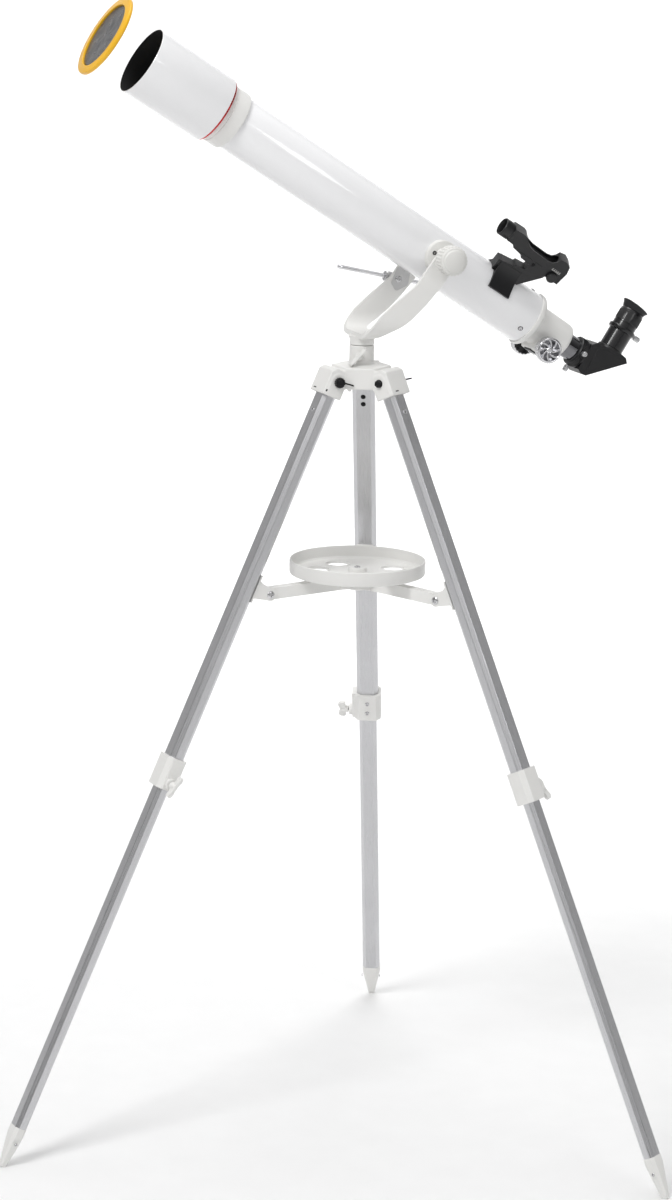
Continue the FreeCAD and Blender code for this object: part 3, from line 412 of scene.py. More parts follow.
def surface(name, colour, rough, metal=0.0, coat=0.0, grain=900.0, bump=0.12, depth=0.00004,
            vary=0.04, rough_vary=0.06, stretch=(1, 1, 1), mottle=14.0):
    """A material with faint colour mottling, uneven gloss and a fine surface texture."""
    nodes = Nodes(name)
    shader = nodes.shader
    shader.inputs["Metallic"].default_value = metal
    shader.inputs["Coat Weight"].default_value = coat
    shader.inputs["Coat Roughness"].default_value = 0.06
    cloud = nodes.noise(mottle, 3.0)
    nodes.link(
        nodes.colours(cloud, tint(colour, 1 - vary), tint(colour, 1 + vary)),
        shader.inputs["Base Color"],
    )
    fine = nodes.noise(grain, 3.0, stretch)
    nodes.link(
        nodes.spread(fine, rough - rough_vary, rough + rough_vary), shader.inputs["Roughness"]
    )
    nodes.bump(fine, bump, depth)
    return nodes.material


def glass_material():
    """Coated lens glass."""
    nodes = Nodes("lens_glass")
    shader = nodes.shader
    shader.inputs["Transmission Weight"].default_value = 1.0
    shader.inputs["IOR"].default_value = 1.52
    shader.inputs["Coat Weight"].default_value = 0.5
    cloud = nodes.noise(30.0)
    nodes.link(
        nodes.colours(cloud, (0.80, 0.92, 0.90), (0.86, 0.90, 0.98)), shader.inputs["Base Color"]
    )
    nodes.link(nodes.spread(cloud, 0.01, 0.03), shader.inputs["Roughness"])
    return nodes.material


WHITE_PAINT = surface("white_paint", (0.88, 0.88, 0.89), 0.16, coat=0.6, grain=500.0, bump=0.03,
                      vary=0.012, rough_vary=0.04)
OFF_WHITE = surface("off_white_plastic", (0.80, 0.795, 0.775), 0.40, grain=1400.0, bump=0.16,
                    vary=0.015)
GREY_WHITE = surface("grey_white_plastic", (0.72, 0.715, 0.69), 0.42, grain=1400.0, bump=0.16,
                     vary=0.02)
BLACK_PLASTIC = surface("black_plastic", (0.006, 0.006, 0.007), 0.36, grain=1500.0, bump=0.22,
                        vary=0.2)
BLACK_GLOSS = surface("black_gloss", (0.005, 0.005, 0.006), 0.22, coat=0.3, grain=900.0,
                      bump=0.06, vary=0.2, rough_vary=0.05)
BLACK_STEEL = surface("black_steel", (0.010, 0.010, 0.011), 0.36, metal=0.5, grain=1200.0,
                      bump=0.1, vary=0.2)
LEG_METAL = surface("brushed_anodised", (0.60, 0.60, 0.615), 0.30, metal=1.0, grain=420.0,
                    bump=0.10, vary=0.02, stretch=(6, 6, 0.06))
BRACKET_METAL = surface("sheet_metal", (0.62, 0.62, 0.62), 0.50, metal=0.7, grain=600.0,
                        bump=0.08, vary=0.03)
CHROME = surface("chrome", (0.78, 0.78, 0.80), 0.08, metal=1.0, grain=300.0, bump=0.02,
                 vary=0.02, rough_vary=0.04)
# Chrome with a darkened base colour: a painted dark reflection on the drawtube and painted shade on
# the focus knobs' webs.
CHROME_PAINTED_SHADE_AND_REFLECTION = surface("chrome_painted_shade_and_reflection", (0.20, 0.20, 0.21), 0.10, metal=1.0, grain=300.0, bump=0.02,
                      vary=0.03, rough_vary=0.04)
STEEL = surface("bright_steel", (0.62, 0.62, 0.63), 0.22, metal=1.0, grain=700.0, bump=0.06,
                vary=0.05)
RED_METAL = surface("red_metallic", (0.50, 0.008, 0.015), 0.24, metal=0.7, coat=0.4, grain=600.0,
                    bump=0.05, vary=0.08)
RUBBER = surface("rubber", (0.007, 0.007, 0.008), 0.62, grain=1100.0, bump=0.3, vary=0.25)
YELLOW = surface("amber_plastic", (0.86, 0.47, 0.012), 0.36, coat=0.2, grain=900.0, bump=0.08,
                 vary=0.06)
FILM = surface("solar_film", (0.10, 0.10, 0.105), 0.30, metal=0.3, grain=60.0, bump=0.25,
               depth=0.0004, vary=0.12, mottle=25.0)
MIRROR = surface("mirror_silver", (0.88, 0.88, 0.90), 0.05, metal=1.0, bump=0.01,
                 rough_vary=0.02)
GLASS = glass_material()
DARK_INSIDE = surface("matt_black_inside", (0.012, 0.012, 0.013), 0.75, grain=900.0, bump=0.2,
                      vary=0.2)

CAD_LOOKS = {
    "tripod_hub": OFF_WHITE, "leg_pivot_bolts": BLACK_STEEL, "leg_wing_nuts": BLACK_STEEL,
    "azimuth_lock_knob": OFF_WHITE, "spreader_hub": OFF_WHITE, "accessory_tray": OFF_WHITE,
    "fork_mount": OFF_WHITE, "azimuth_bolt": STEEL, "altitude_knob_left": OFF_WHITE,
    "altitude_knob_right": OFF_WHITE, "rod_clamp": STEEL, "slow_motion_rod": CHROME,
    "main_tube": WHITE_PAINT, "objective_cell": OFF_WHITE, "objective_lens": GLASS,
    "accent_ring": RED_METAL, "dew_shield": WHITE_PAINT, "focuser_housing": OFF_WHITE,
    "tube_screws": STEEL, "side_discs": OFF_WHITE, "rod_bracket": BRACKET_METAL,
    "finder_saddle": BLACK_PLASTIC, "finder_body": BLACK_PLASTIC, "finder_dial": BLACK_PLASTIC,
    "solar_filter_frame": YELLOW, "solar_film": FILM, "drawtube": CHROME,
    "focus_pinion": STEEL, "focus_knob_left": CHROME, "focus_knob_right": CHROME,
    "focus_lock_screw": BLACK_STEEL, "diagonal_body": BLACK_PLASTIC,
    "diagonal_mirror": MIRROR, "collar_screw_side": STEEL, "collar_screw_lower": STEEL,
    "erecting_lens": BLACK_PLASTIC, "erecting_lens_screw": STEEL, "eyepiece": BLACK_PLASTIC,
    "eyecup": RUBBER,
}
for side in SIDES:
    CAD_LOOKS[f"upper_leg_{side}"] = LEG_METAL
    CAD_LOOKS[f"lower_leg_{side}"] = LEG_METAL
    CAD_LOOKS[f"leg_clamp_{side}"] = OFF_WHITE
    CAD_LOOKS[f"clamp_knob_{side}"] = OFF_WHITE
    CAD_LOOKS[f"foot_{side}"] = OFF_WHITE
    CAD_LOOKS[f"leg_bracket_{side}"] = OFF_WHITE
    CAD_LOOKS[f"spreader_arm_{side}"] = OFF_WHITE

for name, material in CAD_LOOKS.items():
    item = frame["nodes"][name]
    item.data.materials.clear()
    item.data.materials.append(material)
    smooth_by_angle(item.data, 30.0)

# ---------------------------------------------------------------- stand

AHEAD, BACK = along((1, 0, 0)), along((-1, 0, 0))
LEFT, RIGHT = along((0, 1, 0)), along((0, -1, 0))
DOWN = along((0, 0, -1))
UPRIGHT = Matrix(((1, 0, 0, 0), (0, 0, -1, 0), (0, 1, 0, 0), (0, 0, 0, 1)))  # drawn in side view
ACROSS = Matrix(((0, 0, 1, 0), (1, 0, 0, 0), (0, 1, 0, 0), (0, 0, 0, 1)))  # drawn in end view


def between(inner, outer):
    """One frame as seen from another, in millimetres."""
    local = outer.inverted() @ inner
    local.translation = local.translation / MM
    return local


def side_plate(outline, low, high):
    """A plate drawn in side view as (ahead, up), from one Y to another."""
    return moved(prism(outline, -high, -low), UPRIGHT)


def end_plate(outline, low, high):
    """A plate drawn in end view as (Y, Z), from one X to another."""
    return moved(prism(outline, low, high), ACROSS)


def cast(name, shape, holes, place, body, material, voxel=1.1, rounds=5):
    """A casting: overlapping solids grown into one skin with every edge rounded."""
    item = piece(name, shape, place, body, material)
    for number, hole in enumerate(holes):
        carve(item, hole, f"{name}_hole_{number}")
    remesh = item.modifiers.new("grow", "REMESH")
    remesh.mode = "VOXEL"
    remesh.voxel_size = voxel * MM
    smooth = item.modifiers.new("round", "SMOOTH")
    smooth.factor = 0.5
    smooth.iterations = rounds
    graph = bpy.context.evaluated_depsgraph_get()
    mesh = bpy.data.meshes.new_from_object(item.evaluated_get(graph))
    item.modifiers.clear()
    item.data = mesh
    smooth_by_angle(item.data, 60.0)
    return item


def cross_head(radius, height, at, turn):
    """A round screw head with a cross recess, facing along a matrix's Z."""
    dome = [(0, 0), (radius, 0), (radius, height * 0.35), (radius * 0.8, height * 0.8),
            (radius * 0.45, height), (0, height)]
    return moved(lathe(dome, 32), at @ Matrix.Rotation(math.radians(turn), 4, "Z"))


def cross_slots(radius, height, at, turn):
    """The cross that is sunk into a screw head."""
    long, thin = radius * 0.55, radius * 0.14
    bars = joined(slab((-long, -thin, height * 0.3), (long, thin, height * 1.3)),
                  slab((-thin, -long, height * 0.3), (thin, long, height * 1.3)))
    return moved(bars, at @ Matrix.Rotation(math.radians(turn), 4, "Z"))


def screw(name, radius, height, at, place, body, material=None, turn=20.0):
    """A cross-headed screw."""
    return piece(name, cross_head(radius, height, at, turn), place, body, material or STEEL,
                 cut=[cross_slots(radius, height, at, turn)])


HUB_BASE, HUB_TOP, COLUMN_TOP = 1050.0, 1075.0, 1107.0
COLUMN_RADIUS = 16.9
YOKE_HALF, LEG_GAP = 21.0, 15.9
PIVOT_RADIUS, BOLT_ROOM = 44.0, 8.0
YOKE_SIDE = [(-13.0, -22.0), (15.5, -22.0), (15.5, 11.0), (9.5, 17.0), (-13.0, 17.0)]
CHEEK_ARCH = 11.5


def hub_outline():
    """Six corners of the hub's plan."""
    corners = []
    for side in ("right", "rear", "left"):
        outward = (LEGS[side].translation - FORK.translation).to_2d().normalized()
        across = Vector((-outward.y, outward.x))
        for sign in (-1.0, 1.0):
            corners.append(outward * (PIVOT_RADIUS - BOLT_ROOM) + across * YOKE_HALF * sign)
    return [tuple(corner) for corner in corners]


def cheek_arch():
    """The raised arch about a pivot bolt, in end view of a leg."""
    turns = [math.radians(step * 15) for step in range(13)]
    arch = [(CHEEK_ARCH * math.cos(turn), CHEEK_ARCH * math.sin(turn)) for turn in turns]
    return [(CHEEK_ARCH, -21.5)] + arch + [(-CHEEK_ARCH, -21.5)]


CORE_RISE = 4.5


def make_hub():
    """The casting at the top of the legs, with a column that has a groove at its joint."""
    core = prism(soften(hub_outline(), 7.0, 3), HUB_BASE, HUB_TOP + CORE_RISE)
    neck = lathe([(0, HUB_BASE), (35.0, HUB_BASE), (35.0, HUB_TOP + 3.5), (26.0, HUB_TOP + 5.5),
                  (19.5, HUB_TOP + 7.0), (COLUMN_RADIUS, HUB_TOP + 10.0),
                  (COLUMN_RADIUS, COLUMN_TOP), (0, COLUMN_TOP)])
    parts, gaps = [core, neck], []
    for side in SIDES:
        leg = between(LEGS[side], STAND)
        yoke = end_plate(YOKE_SIDE, -YOKE_HALF, YOKE_HALF)
        arches = joined(end_plate(cheek_arch(), -YOKE_HALF - 1.0, 1 - YOKE_HALF),
                        end_plate(cheek_arch(), YOKE_HALF - 1.0, YOKE_HALF + 1.0))
        parts += [moved(yoke, leg), moved(arches, leg)]
        gaps.append(moved(slab((-LEG_GAP, -17.0, -40.0), (LEG_GAP, 11.8, 14.8)), leg))
    gaps.append(disc(10.0, HUB_BASE - 10.0, HUB_BASE + 8.0))
    hub = cast("hub_casting", joined(*parts), gaps, STAND, "stand", OFF_WHITE)
    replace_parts(hub, "tripod_hub")
    for side in SIDES:
        # Thin black slabs on the hub's faces: painted shade standing for the insides of its slots.
        painted_slot_shades = (slab((5.5, 15.2, -17.5), (12.5, 15.8, -16.0)),
                 slab((-YOKE_HALF - 0.7, 10.0, -17.5), (-YOKE_HALF - 0.2, 13.5, -14.5)))
        for number, slot in enumerate(painted_slot_shades):
            piece(f"hub_slot_{side}_{number}", slot, LEGS[side], "stand", BLACK_PLASTIC,
                  bevel=0.15)


HEX_RADIUS, HEX_THICK = 5.1, 4.0
NUT_RADIUS, LEVER = 7.3, 19.0
LEVER_TURNS = {"left": 18.0, "rear": 60.0, "right": 200.0}


def make_pivot_fasteners():
    """Black hexagon bolts through the legs' tops, with knurled nuts that have a thin lever."""
    bolts, nuts = [], []
    for side in SIDES:
        out = between(LEGS[side], STAND) @ Matrix.Translation((YOKE_HALF + 1.0, 0, 0)) @ AHEAD
        head = prism(polygon(HEX_RADIUS, 6), 0, HEX_THICK)
        flange = disc(HEX_RADIUS + 0.5, -0.4, 0.8, 36)
        dimple = disc(3.2, HEX_THICK - 0.4, HEX_THICK + 0.5, 32)
        shank = disc(2.9, -2 * YOKE_HALF - 6.0, 0.2, 24)
        bolts += [moved(shape, out) for shape in (head, flange, dimple, shank)]
        inward = (between(LEGS[side], STAND) @ Matrix.Translation((-YOKE_HALF - 1.0, 0, 0))
                  @ Matrix(((0, 0, -1, 0), (0, 1, 0, 0), (1, 0, 0, 0), (0, 0, 0, 1)))
                  @ Matrix.Rotation(math.radians(LEVER_TURNS[side]), 4, "Z"))
        body = prism(lobed(NUT_RADIUS, 0.9, 14, 6), 0.4, 6.0)
        cap = lathe([(0, 5.5), (6.0, 5.5), (5.4, 7.4), (3.6, 8.0), (3.4, 6.8), (0, 6.8)], 36)
        lever = loft([[(-1.0, -3.0, 4.0), (1.0, -3.0, 4.0), (1.0, -3.0, 6.6), (-1.0, -3.0, 6.6)],
                      [(-1.1, -8.0, 4.6), (1.1, -8.0, 4.6), (1.1, -8.0, 6.8), (-1.1, -8.0, 6.8)],
                      [(-3.2, -LEVER, 6.4), (-1.2, -LEVER, 6.4), (-1.2, -LEVER, 8.2),
                       (-3.2, -LEVER, 8.2)]])
        nuts += [moved(shape, inward) for shape in (body, cap, lever)]
    item = piece("pivot_bolts", joined(*bolts), STAND, "stand", BLACK_STEEL, bevel=0.35)
    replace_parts(item, "leg_pivot_bolts")
    item = piece("pivot_nuts", joined(*nuts), STAND, "stand", BLACK_STEEL, bevel=0.3)
    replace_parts(item, "leg_wing_nuts")


WING = [(2.0, -4.5), (5.0, -8.0), (3.5, -13.5), (6.5, -16.3), (12.5, -15.6), (15.2, -10.5),
        (13.2, -4.5), (12.4, 0.0), (13.2, 4.5), (15.2, 10.5), (12.5, 15.6), (6.5, 16.3),
        (3.5, 13.5), (5.0, 8.0), (2.0, 4.5)]


def wing_knob():
    """A moulded wing with its boss along Z, drawn with the wing along Y."""
    wing = [(y, z) for z, y in soften(WING, 2.6, 3)]
    blade = moved(prism(wing, -2.4, 2.4), Matrix(((0, 0, 1, 0), (1, 0, 0, 0), (0, 1, 0, 0),
                                                  (0, 0, 0, 1))))
    boss = lathe([(0, 0), (5.2, 0), (5.4, 1.0), (4.7, 2.2), (4.4, 9.0), (3.4, 10.8), (0, 11.0)], 40)
    return joined(blade, boss)


def threaded(radius, low, high, pitch=0.9):
    """A screw's shank with ridges."""
    profile = [(0, low), (radius, low)]
    for step in range(int((high - low) / pitch)):
        start = low + step * pitch
        profile += [(radius, start + 0.1), (radius - 0.35, start + pitch * 0.5)]
    profile += [(radius, high), (0, high)]
    return lathe(profile, 24)


LOCK_HEIGHT, LOCK_HEADING, LOCK_TWIST, LOCK_REACH = 1093.0, 263.0, 48.0, 18.0


def make_azimuth_lock():
    """The wing screw in the column."""
    place = (STAND @ Matrix.Translation((0, 0, LOCK_HEIGHT * MM))
             @ Matrix.Rotation(math.radians(LOCK_HEADING), 4, "Z")
             @ Matrix.Rotation(math.radians(LOCK_TWIST), 4, "X"))
    at = Matrix.Translation((LOCK_REACH, 0, 0)) @ Matrix.Rotation(math.radians(90), 4, "Y")
    shape = moved(wing_knob(), at)
    knob = piece("column_wing_screw", shape, place, "azimuth_lock", OFF_WHITE, bevel=0.8)
    collar = piece("column_screw_shank", moved(threaded(2.5, -8.0, 0.4), at), place,
                   "azimuth_lock", STEEL)
    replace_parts(knob, "azimuth_lock_knob")
    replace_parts(collar, "azimuth_lock_knob")
    boss = lathe([(0, -4.0), (7.2, -4.0), (6.4, -0.8), (5.6, -0.6), (0, -0.6)], 36)
    piece("column_boss", moved(boss, at), place, "stand", OFF_WHITE, bevel=0.4)


# ---------------------------------------------------------------- legs

UPPER, LOWER = (31.0, 21.0, 5.5), (25.5, 17.0, 4.5)
UPPER_TOP, UPPER_END, LOWER_TOP, LOWER_END = 10.0, -580.0, -525.0, -1104.0
LEG_WALL = 1.5
CLAMP_TOP, CLAMP_END, CLAMP_SCREW = -555.0, -600.0, -590.0
CLAMP = (39.0, 29.0, 6.5)
CLAMP_BOSS_RADIUS, CLAMP_BOSS_DEPTH = 8.4, 5.5
CLAMP_WING_REACH, CLAMP_WING_TURN = 29.0, 75.0
FOOT_END, FOOT_RADIUS = -1163.6, 13.3


def hollow(section, wall, low, high):
    """A leg tube: its section's skin and the same again inside, joined at both ends."""
    outer = oblong(*section)
    inner = oblong(section[0] - 2 * wall, section[1] - 2 * wall, section[2] - wall * 0.5858)
    count = len(outer)
    points = [(x, y, low) for x, y in outer] + [(x, y, high) for x, y in outer]
    points += [(x, y, high) for x, y in inner] + [(x, y, low) for x, y in inner]
    faces = []
    for ring_index in range(4):
        start, after = ring_index * count, (ring_index + 1) % 4 * count
        for index in range(count):
            near = (index + 1) % count
            faces.append((start + index, start + near, after + near, after + index))
    return [Vector(point) for point in points], faces


def make_leg(side):
    """One leg with its clamp, knob, foot and screws."""
    place, upper_body, lower_body = LEGS[side], f"leg_{side}", f"lower_leg_{side}"
    item = piece(f"upper_tube_{side}", hollow(UPPER, LEG_WALL, UPPER_END, UPPER_TOP), place,
                 upper_body, LEG_METAL, bevel=0.7, angle=25.0)
    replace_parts(item, f"upper_leg_{side}")
    item = piece(f"lower_tube_{side}", hollow(LOWER, LEG_WALL, LOWER_END, LOWER_TOP), place,
                 lower_body, LEG_METAL, bevel=0.6, angle=25.0)
    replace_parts(item, f"lower_leg_{side}")
    for number, z in enumerate((-31.0, -43.0)):
        at = Matrix.Translation((0, -UPPER[1] / 2, z)) @ RIGHT
        screw(f"leg_screw_{side}_{number}", 3.4, 1.6, at, place, upper_body, BLACK_STEEL)
    rivet = lathe([(0, 0), (3.2, 0), (2.9, 0.9), (1.6, 1.5), (0, 1.6)], 28)
    piece(f"leg_rivet_{side}", moved(rivet, Matrix.Translation((0, UPPER[1] / 2, -46.0)) @ LEFT),
          place, upper_body, STEEL)
    make_clamp(side, place)
    make_foot(side, place)
    make_bracket(side, place)


def make_clamp(side, place):
    """The moulded collar, its boss and screws, and the wing knob with its shank."""
    collar = prism(oblong(*CLAMP), CLAMP_END, CLAMP_TOP)
    ear = slab((-CLAMP[0] / 2 - 3.2, -9.0, CLAMP_END + 1.5), (-CLAMP[0] / 2 + 2.0, 9.0, CLAMP_TOP))
    boss = moved(disc(CLAMP_BOSS_RADIUS, 0, CLAMP_BOSS_DEPTH, 40),
                 Matrix.Translation((-CLAMP[0] / 2 - 3.0, 0, CLAMP_SCREW)) @ BACK)
    socket = prism(oblong(UPPER[0] + 0.1, UPPER[1] + 0.1, UPPER[2]), UPPER_END, CLAMP_TOP + 5)
    guide = prism(oblong(LOWER[0] + 0.8, LOWER[1] + 0.8, LOWER[2]), CLAMP_END - 5, UPPER_END + 1)
    item = piece(f"collar_{side}", joined(collar, ear, boss), place, f"leg_{side}", OFF_WHITE,
                 bevel=0.9, cut=[socket, guide])
    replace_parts(item, f"leg_clamp_{side}")
    for number, z in enumerate((-569.0, -586.0)):
        at = Matrix.Translation((0, -CLAMP[1] / 2, z)) @ RIGHT
        screw(f"collar_screw_{side}_{number}", 3.3, 1.8, at, place, f"leg_{side}", STEEL,
              20.0 + 35.0 * number)
    at = (Matrix.Translation((-CLAMP_WING_REACH, 0, CLAMP_SCREW))
          @ Matrix.Rotation(math.radians(-90), 4, "Y")
          @ Matrix.Rotation(math.radians(CLAMP_WING_TURN), 4, "Z"))
    knob = piece(f"collar_wing_{side}", moved(wing_knob(), at), place, f"clamp_knob_{side}",
                 OFF_WHITE, bevel=0.9)
    shank = piece(f"collar_shank_{side}", moved(threaded(2.5, -15.0, 0.4), at), place,
                  f"clamp_knob_{side}", STEEL)
    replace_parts(knob, f"clamp_knob_{side}")
    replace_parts(shank, f"clamp_knob_{side}")


def make_foot(side, place):
    """The tapered foot: a sleeve section that narrows to a round worn tip."""
    sections = []
    for z, scale, roundness in ((LOWER_END + 1.0, 1.0, 0.0), (LOWER_END - 10.0, 1.0, 0.0),
                                (LOWER_END - 14.0, 0.94, 0.2), (LOWER_END - 34.0, 0.70, 0.55),
                                (LOWER_END - 52.0, 0.47, 0.9), (FOOT_END + 1.8, 0.40, 1.0),
                                (FOOT_END + 0.4, 0.30, 1.0)):
        square = oblong((LOWER[0] + 1.0) * scale, (LOWER[1] + 1.0) * scale, LOWER[2] * scale)
        outline = []
        for x, y in square:
            turn = math.atan2(y / LOWER[1], x / LOWER[0])
            circle = (FOOT_RADIUS * scale * math.cos(turn), FOOT_RADIUS * scale * math.sin(turn))
            outline.append((x + (circle[0] - x) * roundness, y + (circle[1] - y) * roundness, z))
        sections.append(outline)
    item = piece(f"foot_moulding_{side}", loft(sections), place, f"lower_leg_{side}", OFF_WHITE,
                 bevel=0.8, angle=20.0)
    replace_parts(item, f"foot_{side}")
    for number, (x, along_x) in enumerate(((LOWER[0] / 2, AHEAD), (-LOWER[0] / 2, BACK))):
        at = Matrix.Translation((x - 1.2, 0, LOWER_END - 22.0)) @ along_x
        screw(f"foot_screw_{side}_{number}", 2.3, 1.4, at, place, f"lower_leg_{side}")


BRACKET_DEPTH, BRACKET_OFFSET = -301.0, 35.1


def make_bracket(side, place):
    """The moulded two-eared bracket on the leg's inner face, and its cross-headed pin."""
    face = UPPER[1] / 2
    base = slab((-12.0, -face - 2.6, BRACKET_DEPTH - 20.0), (12.0, -face, BRACKET_DEPTH + 20.0))
    ear = [(-face, -14.0), (-face, 14.0), (-face - 8.0, 10.0), (-BRACKET_OFFSET + 2.0, 9.0)]
    for step in range(9):
        turn = math.radians(80.0 + step * 25.0)
        ear.append((-BRACKET_OFFSET + 9.0 * math.cos(turn), 9.0 * math.sin(turn)))
    ears = [moved(end_plate(ear, low, low + 3.0), Matrix.Translation((0, 0, BRACKET_DEPTH)))
            for low in (-11.0, 8.0)]
    item = piece(f"bracket_{side}", joined(base, *ears), place, f"leg_{side}", OFF_WHITE,
                 bevel=0.7, angle=30.0)
    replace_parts(item, f"leg_bracket_{side}")
    for number, (x, turned) in enumerate(((11.0, AHEAD), (-11.0, BACK))):
        at = Matrix.Translation((x, -BRACKET_OFFSET, BRACKET_DEPTH)) @ turned
        head = screw(f"bracket_screw_{side}_{number}", 5.3, 2.4, at, place, f"leg_{side}")
        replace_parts(head, f"leg_bracket_{side}")
    pin = moved(disc(2.4, -11.0, 11.0, 24),
                Matrix.Translation((0, -BRACKET_OFFSET, BRACKET_DEPTH)) @ AHEAD)
    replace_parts(piece(f"bracket_pin_{side}", pin, place, f"leg_{side}", STEEL),
                f"leg_bracket_{side}")


# ---------------------------------------------------------------- spreader and tray

TRAY_RADIUS, TRAY_BASE, TRAY_RIM, TRAY_FLOOR = 94.0, 789.0, 20.0, 3.0
TRAY_HOLES, TRAY_HOLE_PITCH, TRAY_HOLE_RADIUS = (30, 124, 176, 244, 296), 55.0, 16.0


def make_tray():
    """The round tray with a rolled rim, a centre boss and five rimmed holes."""
    radius, base, rim = TRAY_RADIUS, TRAY_BASE, TRAY_BASE + TRAY_RIM
    floor = base + TRAY_FLOOR
    profile = [(0, base), (radius - 3.0, base), (radius - 0.8, base + 1.0), (radius, base + 3.2),
               (radius, rim - 0.8), (radius - 0.8, rim), (radius - 1.6, rim),
               (radius - 2.2, rim - 0.8), (radius - 2.2, floor + 2.4), (radius - 4.6, floor),
               (13.0, floor), (12.6, floor + 4.6), (11.6, floor + 5.6), (0, floor + 5.6)]
    dish = lathe(profile, 128)
    holes, rims = [], []
    for angle in TRAY_HOLES:
        turn = math.radians(angle)
        x, y = TRAY_HOLE_PITCH * math.cos(turn), TRAY_HOLE_PITCH * math.sin(turn)
        at = Matrix.Translation((x, y, 0))
        holes.append(moved(disc(TRAY_HOLE_RADIUS, base - 4.0, floor + 4.0, 64), at))
        rims.append(moved(ring(TRAY_HOLE_RADIUS, TRAY_HOLE_RADIUS + 1.6, floor - 0.6, floor + 0.6),
                          at))
    item = piece("tray", dish, STAND, "spreader", OFF_WHITE, bevel=0.35, cut=holes)
    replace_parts(item, "accessory_tray")
    piece("tray_hole_rims", joined(*rims), STAND, "spreader", OFF_WHITE, bevel=0.2)
    at = Matrix.Translation((0, 0, floor + 5.4))
    screw("tray_screw", 4.6, 1.8, at, STAND, "spreader")


ARM_ROOT_RADIUS, ARM_ROOT_HEIGHT = 22.0, 777.2
ARM_HALF_HIGH, ARM_HALF_WIDE = 8.1, 7.0


def make_arm(side):
    """A moulded arm: open underneath, with round ends, ribs and a stepped outer end."""
    pin = between(LEGS[side], radial_frame(side)) @ Vector((0, -BRACKET_OFFSET, BRACKET_DEPTH))
    run, drop = pin.x - ARM_ROOT_RADIUS, ARM_ROOT_HEIGHT - pin.z
    length, fall = math.hypot(run, drop), math.atan2(drop, run)
    root = Vector((ARM_ROOT_RADIUS, 0, ARM_ROOT_HEIGHT)) * MM
    place = radial_frame(side) @ Matrix.Translation(root) @ Matrix.Rotation(fall, 4, "Y")
    high, wide = ARM_HALF_HIGH, ARM_HALF_WIDE
    outline = []
    for step in range(9):
        turn = math.radians(90 + step * 22.5)
        outline.append((high * math.cos(turn), high * math.sin(turn)))
    outline += [(length - 14.0, -high)]
    for step in range(9):
        turn = math.radians(-90 + step * 22.5)
        outline.append((length + 3.0 + (high - 0.6) * math.cos(turn),
                        (high - 0.6) * math.sin(turn)))
    outline += [(length - 14.0, high)]
    bar = side_plate(outline, -wide, wide)
    channel = slab((14.0, -5.2, -high - 1.0), (length - 16.0, 5.2, 5.4))
    slot = slab((length - 6.5, -15.0, -5.2), (length + 7.0, 15.0, 5.2))
    item = piece(f"arm_{side}_bar", bar, place, f"arm_{side}", OFF_WHITE, bevel=0.8,
                 cut=[channel, slot])
    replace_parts(item, f"spreader_arm_{side}")
    ribs = [slab((x, -5.4, -high + 1.0), (x + 1.4, 5.4, 5.6)) for x in (34.0, 56.0, 78.0)]
    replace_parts(piece(f"arm_{side}_ribs", joined(*ribs), place, f"arm_{side}", OFF_WHITE),
                f"spreader_arm_{side}")


def make_spreader_hub():
    """The round hub under the tray with three pairs of ears and their pins."""
    core = lathe([(0, 767.0), (12.0, 767.0), (13.6, 768.6), (13.6, TRAY_BASE - 4.0),
                  (16.0, TRAY_BASE - 2.0), (30.0, TRAY_BASE - 1.8), (30.0, TRAY_BASE),
                  (0, TRAY_BASE)], 64)
    parts, pins = [core], []
    for side in SIDES:
        turn = between(radial_frame(side), STAND)
        ear = soften([(8.0, 769.5), (ARM_ROOT_RADIUS + 7.5, 769.5),
                      (ARM_ROOT_RADIUS + 7.5, TRAY_BASE - 1.0), (8.0, TRAY_BASE - 1.0)], 4.0)
        for low in (-10.3, 7.3):
            parts.append(moved(side_plate(ear, low, low + 3.0), turn))
        at = turn @ Matrix.Translation((ARM_ROOT_RADIUS, 0, ARM_ROOT_HEIGHT))
        for facing in (LEFT, RIGHT):
            pin = lathe([(0, 9.9), (3.6, 9.9), (3.2, 11.6), (0, 12.2)], 24)
            pins.append(moved(pin, at @ facing))
    item = piece("spreader_boss", joined(*parts), STAND, "spreader", OFF_WHITE, bevel=0.5)
    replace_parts(item, "spreader_hub")
    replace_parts(piece("spreader_pins", joined(*pins), STAND, "spreader", STEEL), "spreader_hub")
    screw("spreader_screw", 6.0, 1.6, Matrix.Translation((0, 0, 767.0)) @ DOWN, STAND, "spreader")


# ---------------------------------------------------------------- fork mount

FORK_BASE, FORK_HALF, FORK_WALL = 1118.0, 50.0, 5.0
SETBACK, AXIS_HEIGHT, FORK_END = 99.4, 1226.7, 15.0
FORK_FRONT = [(0.0, 12.0), (3.0, 13.0), (9.0, 10.5), (18.0, 4.0), (33.0, -8.0), (51.0, -29.0),
              (74.5, -59.0), (118.2, -90.0)]  # height above the fork's base, distance ahead
FORK_BACK = [(0.0, -2.0), (2.0, -9.0), (9.5, -22.0), (18.0, -39.0), (29.0, -54.0),
             (46.0, -72.0), (65.0, -89.0), (76.0, -99.0), (99.2, -110.4)]


def fork_limit(points, height, sign):
    """How far ahead one edge of the fork runs at a height, following its rounded ends."""
    above = height - AXIS_HEIGHT
    bend = points[-1][0] + FORK_BASE - AXIS_HEIGHT
    if above > bend:
        return -SETBACK + sign * math.sqrt(max(FORK_END ** 2 - above ** 2, 0.0))
    level = max(height - FORK_BASE, 0.0)
    for (low, x_low), (high, x_high) in zip(points, points[1:]):
        if level <= high:
            break
    share = min(max((level - low) / (high - low), 0.0), 1.0)
    return x_low + (x_high - x_low) * share


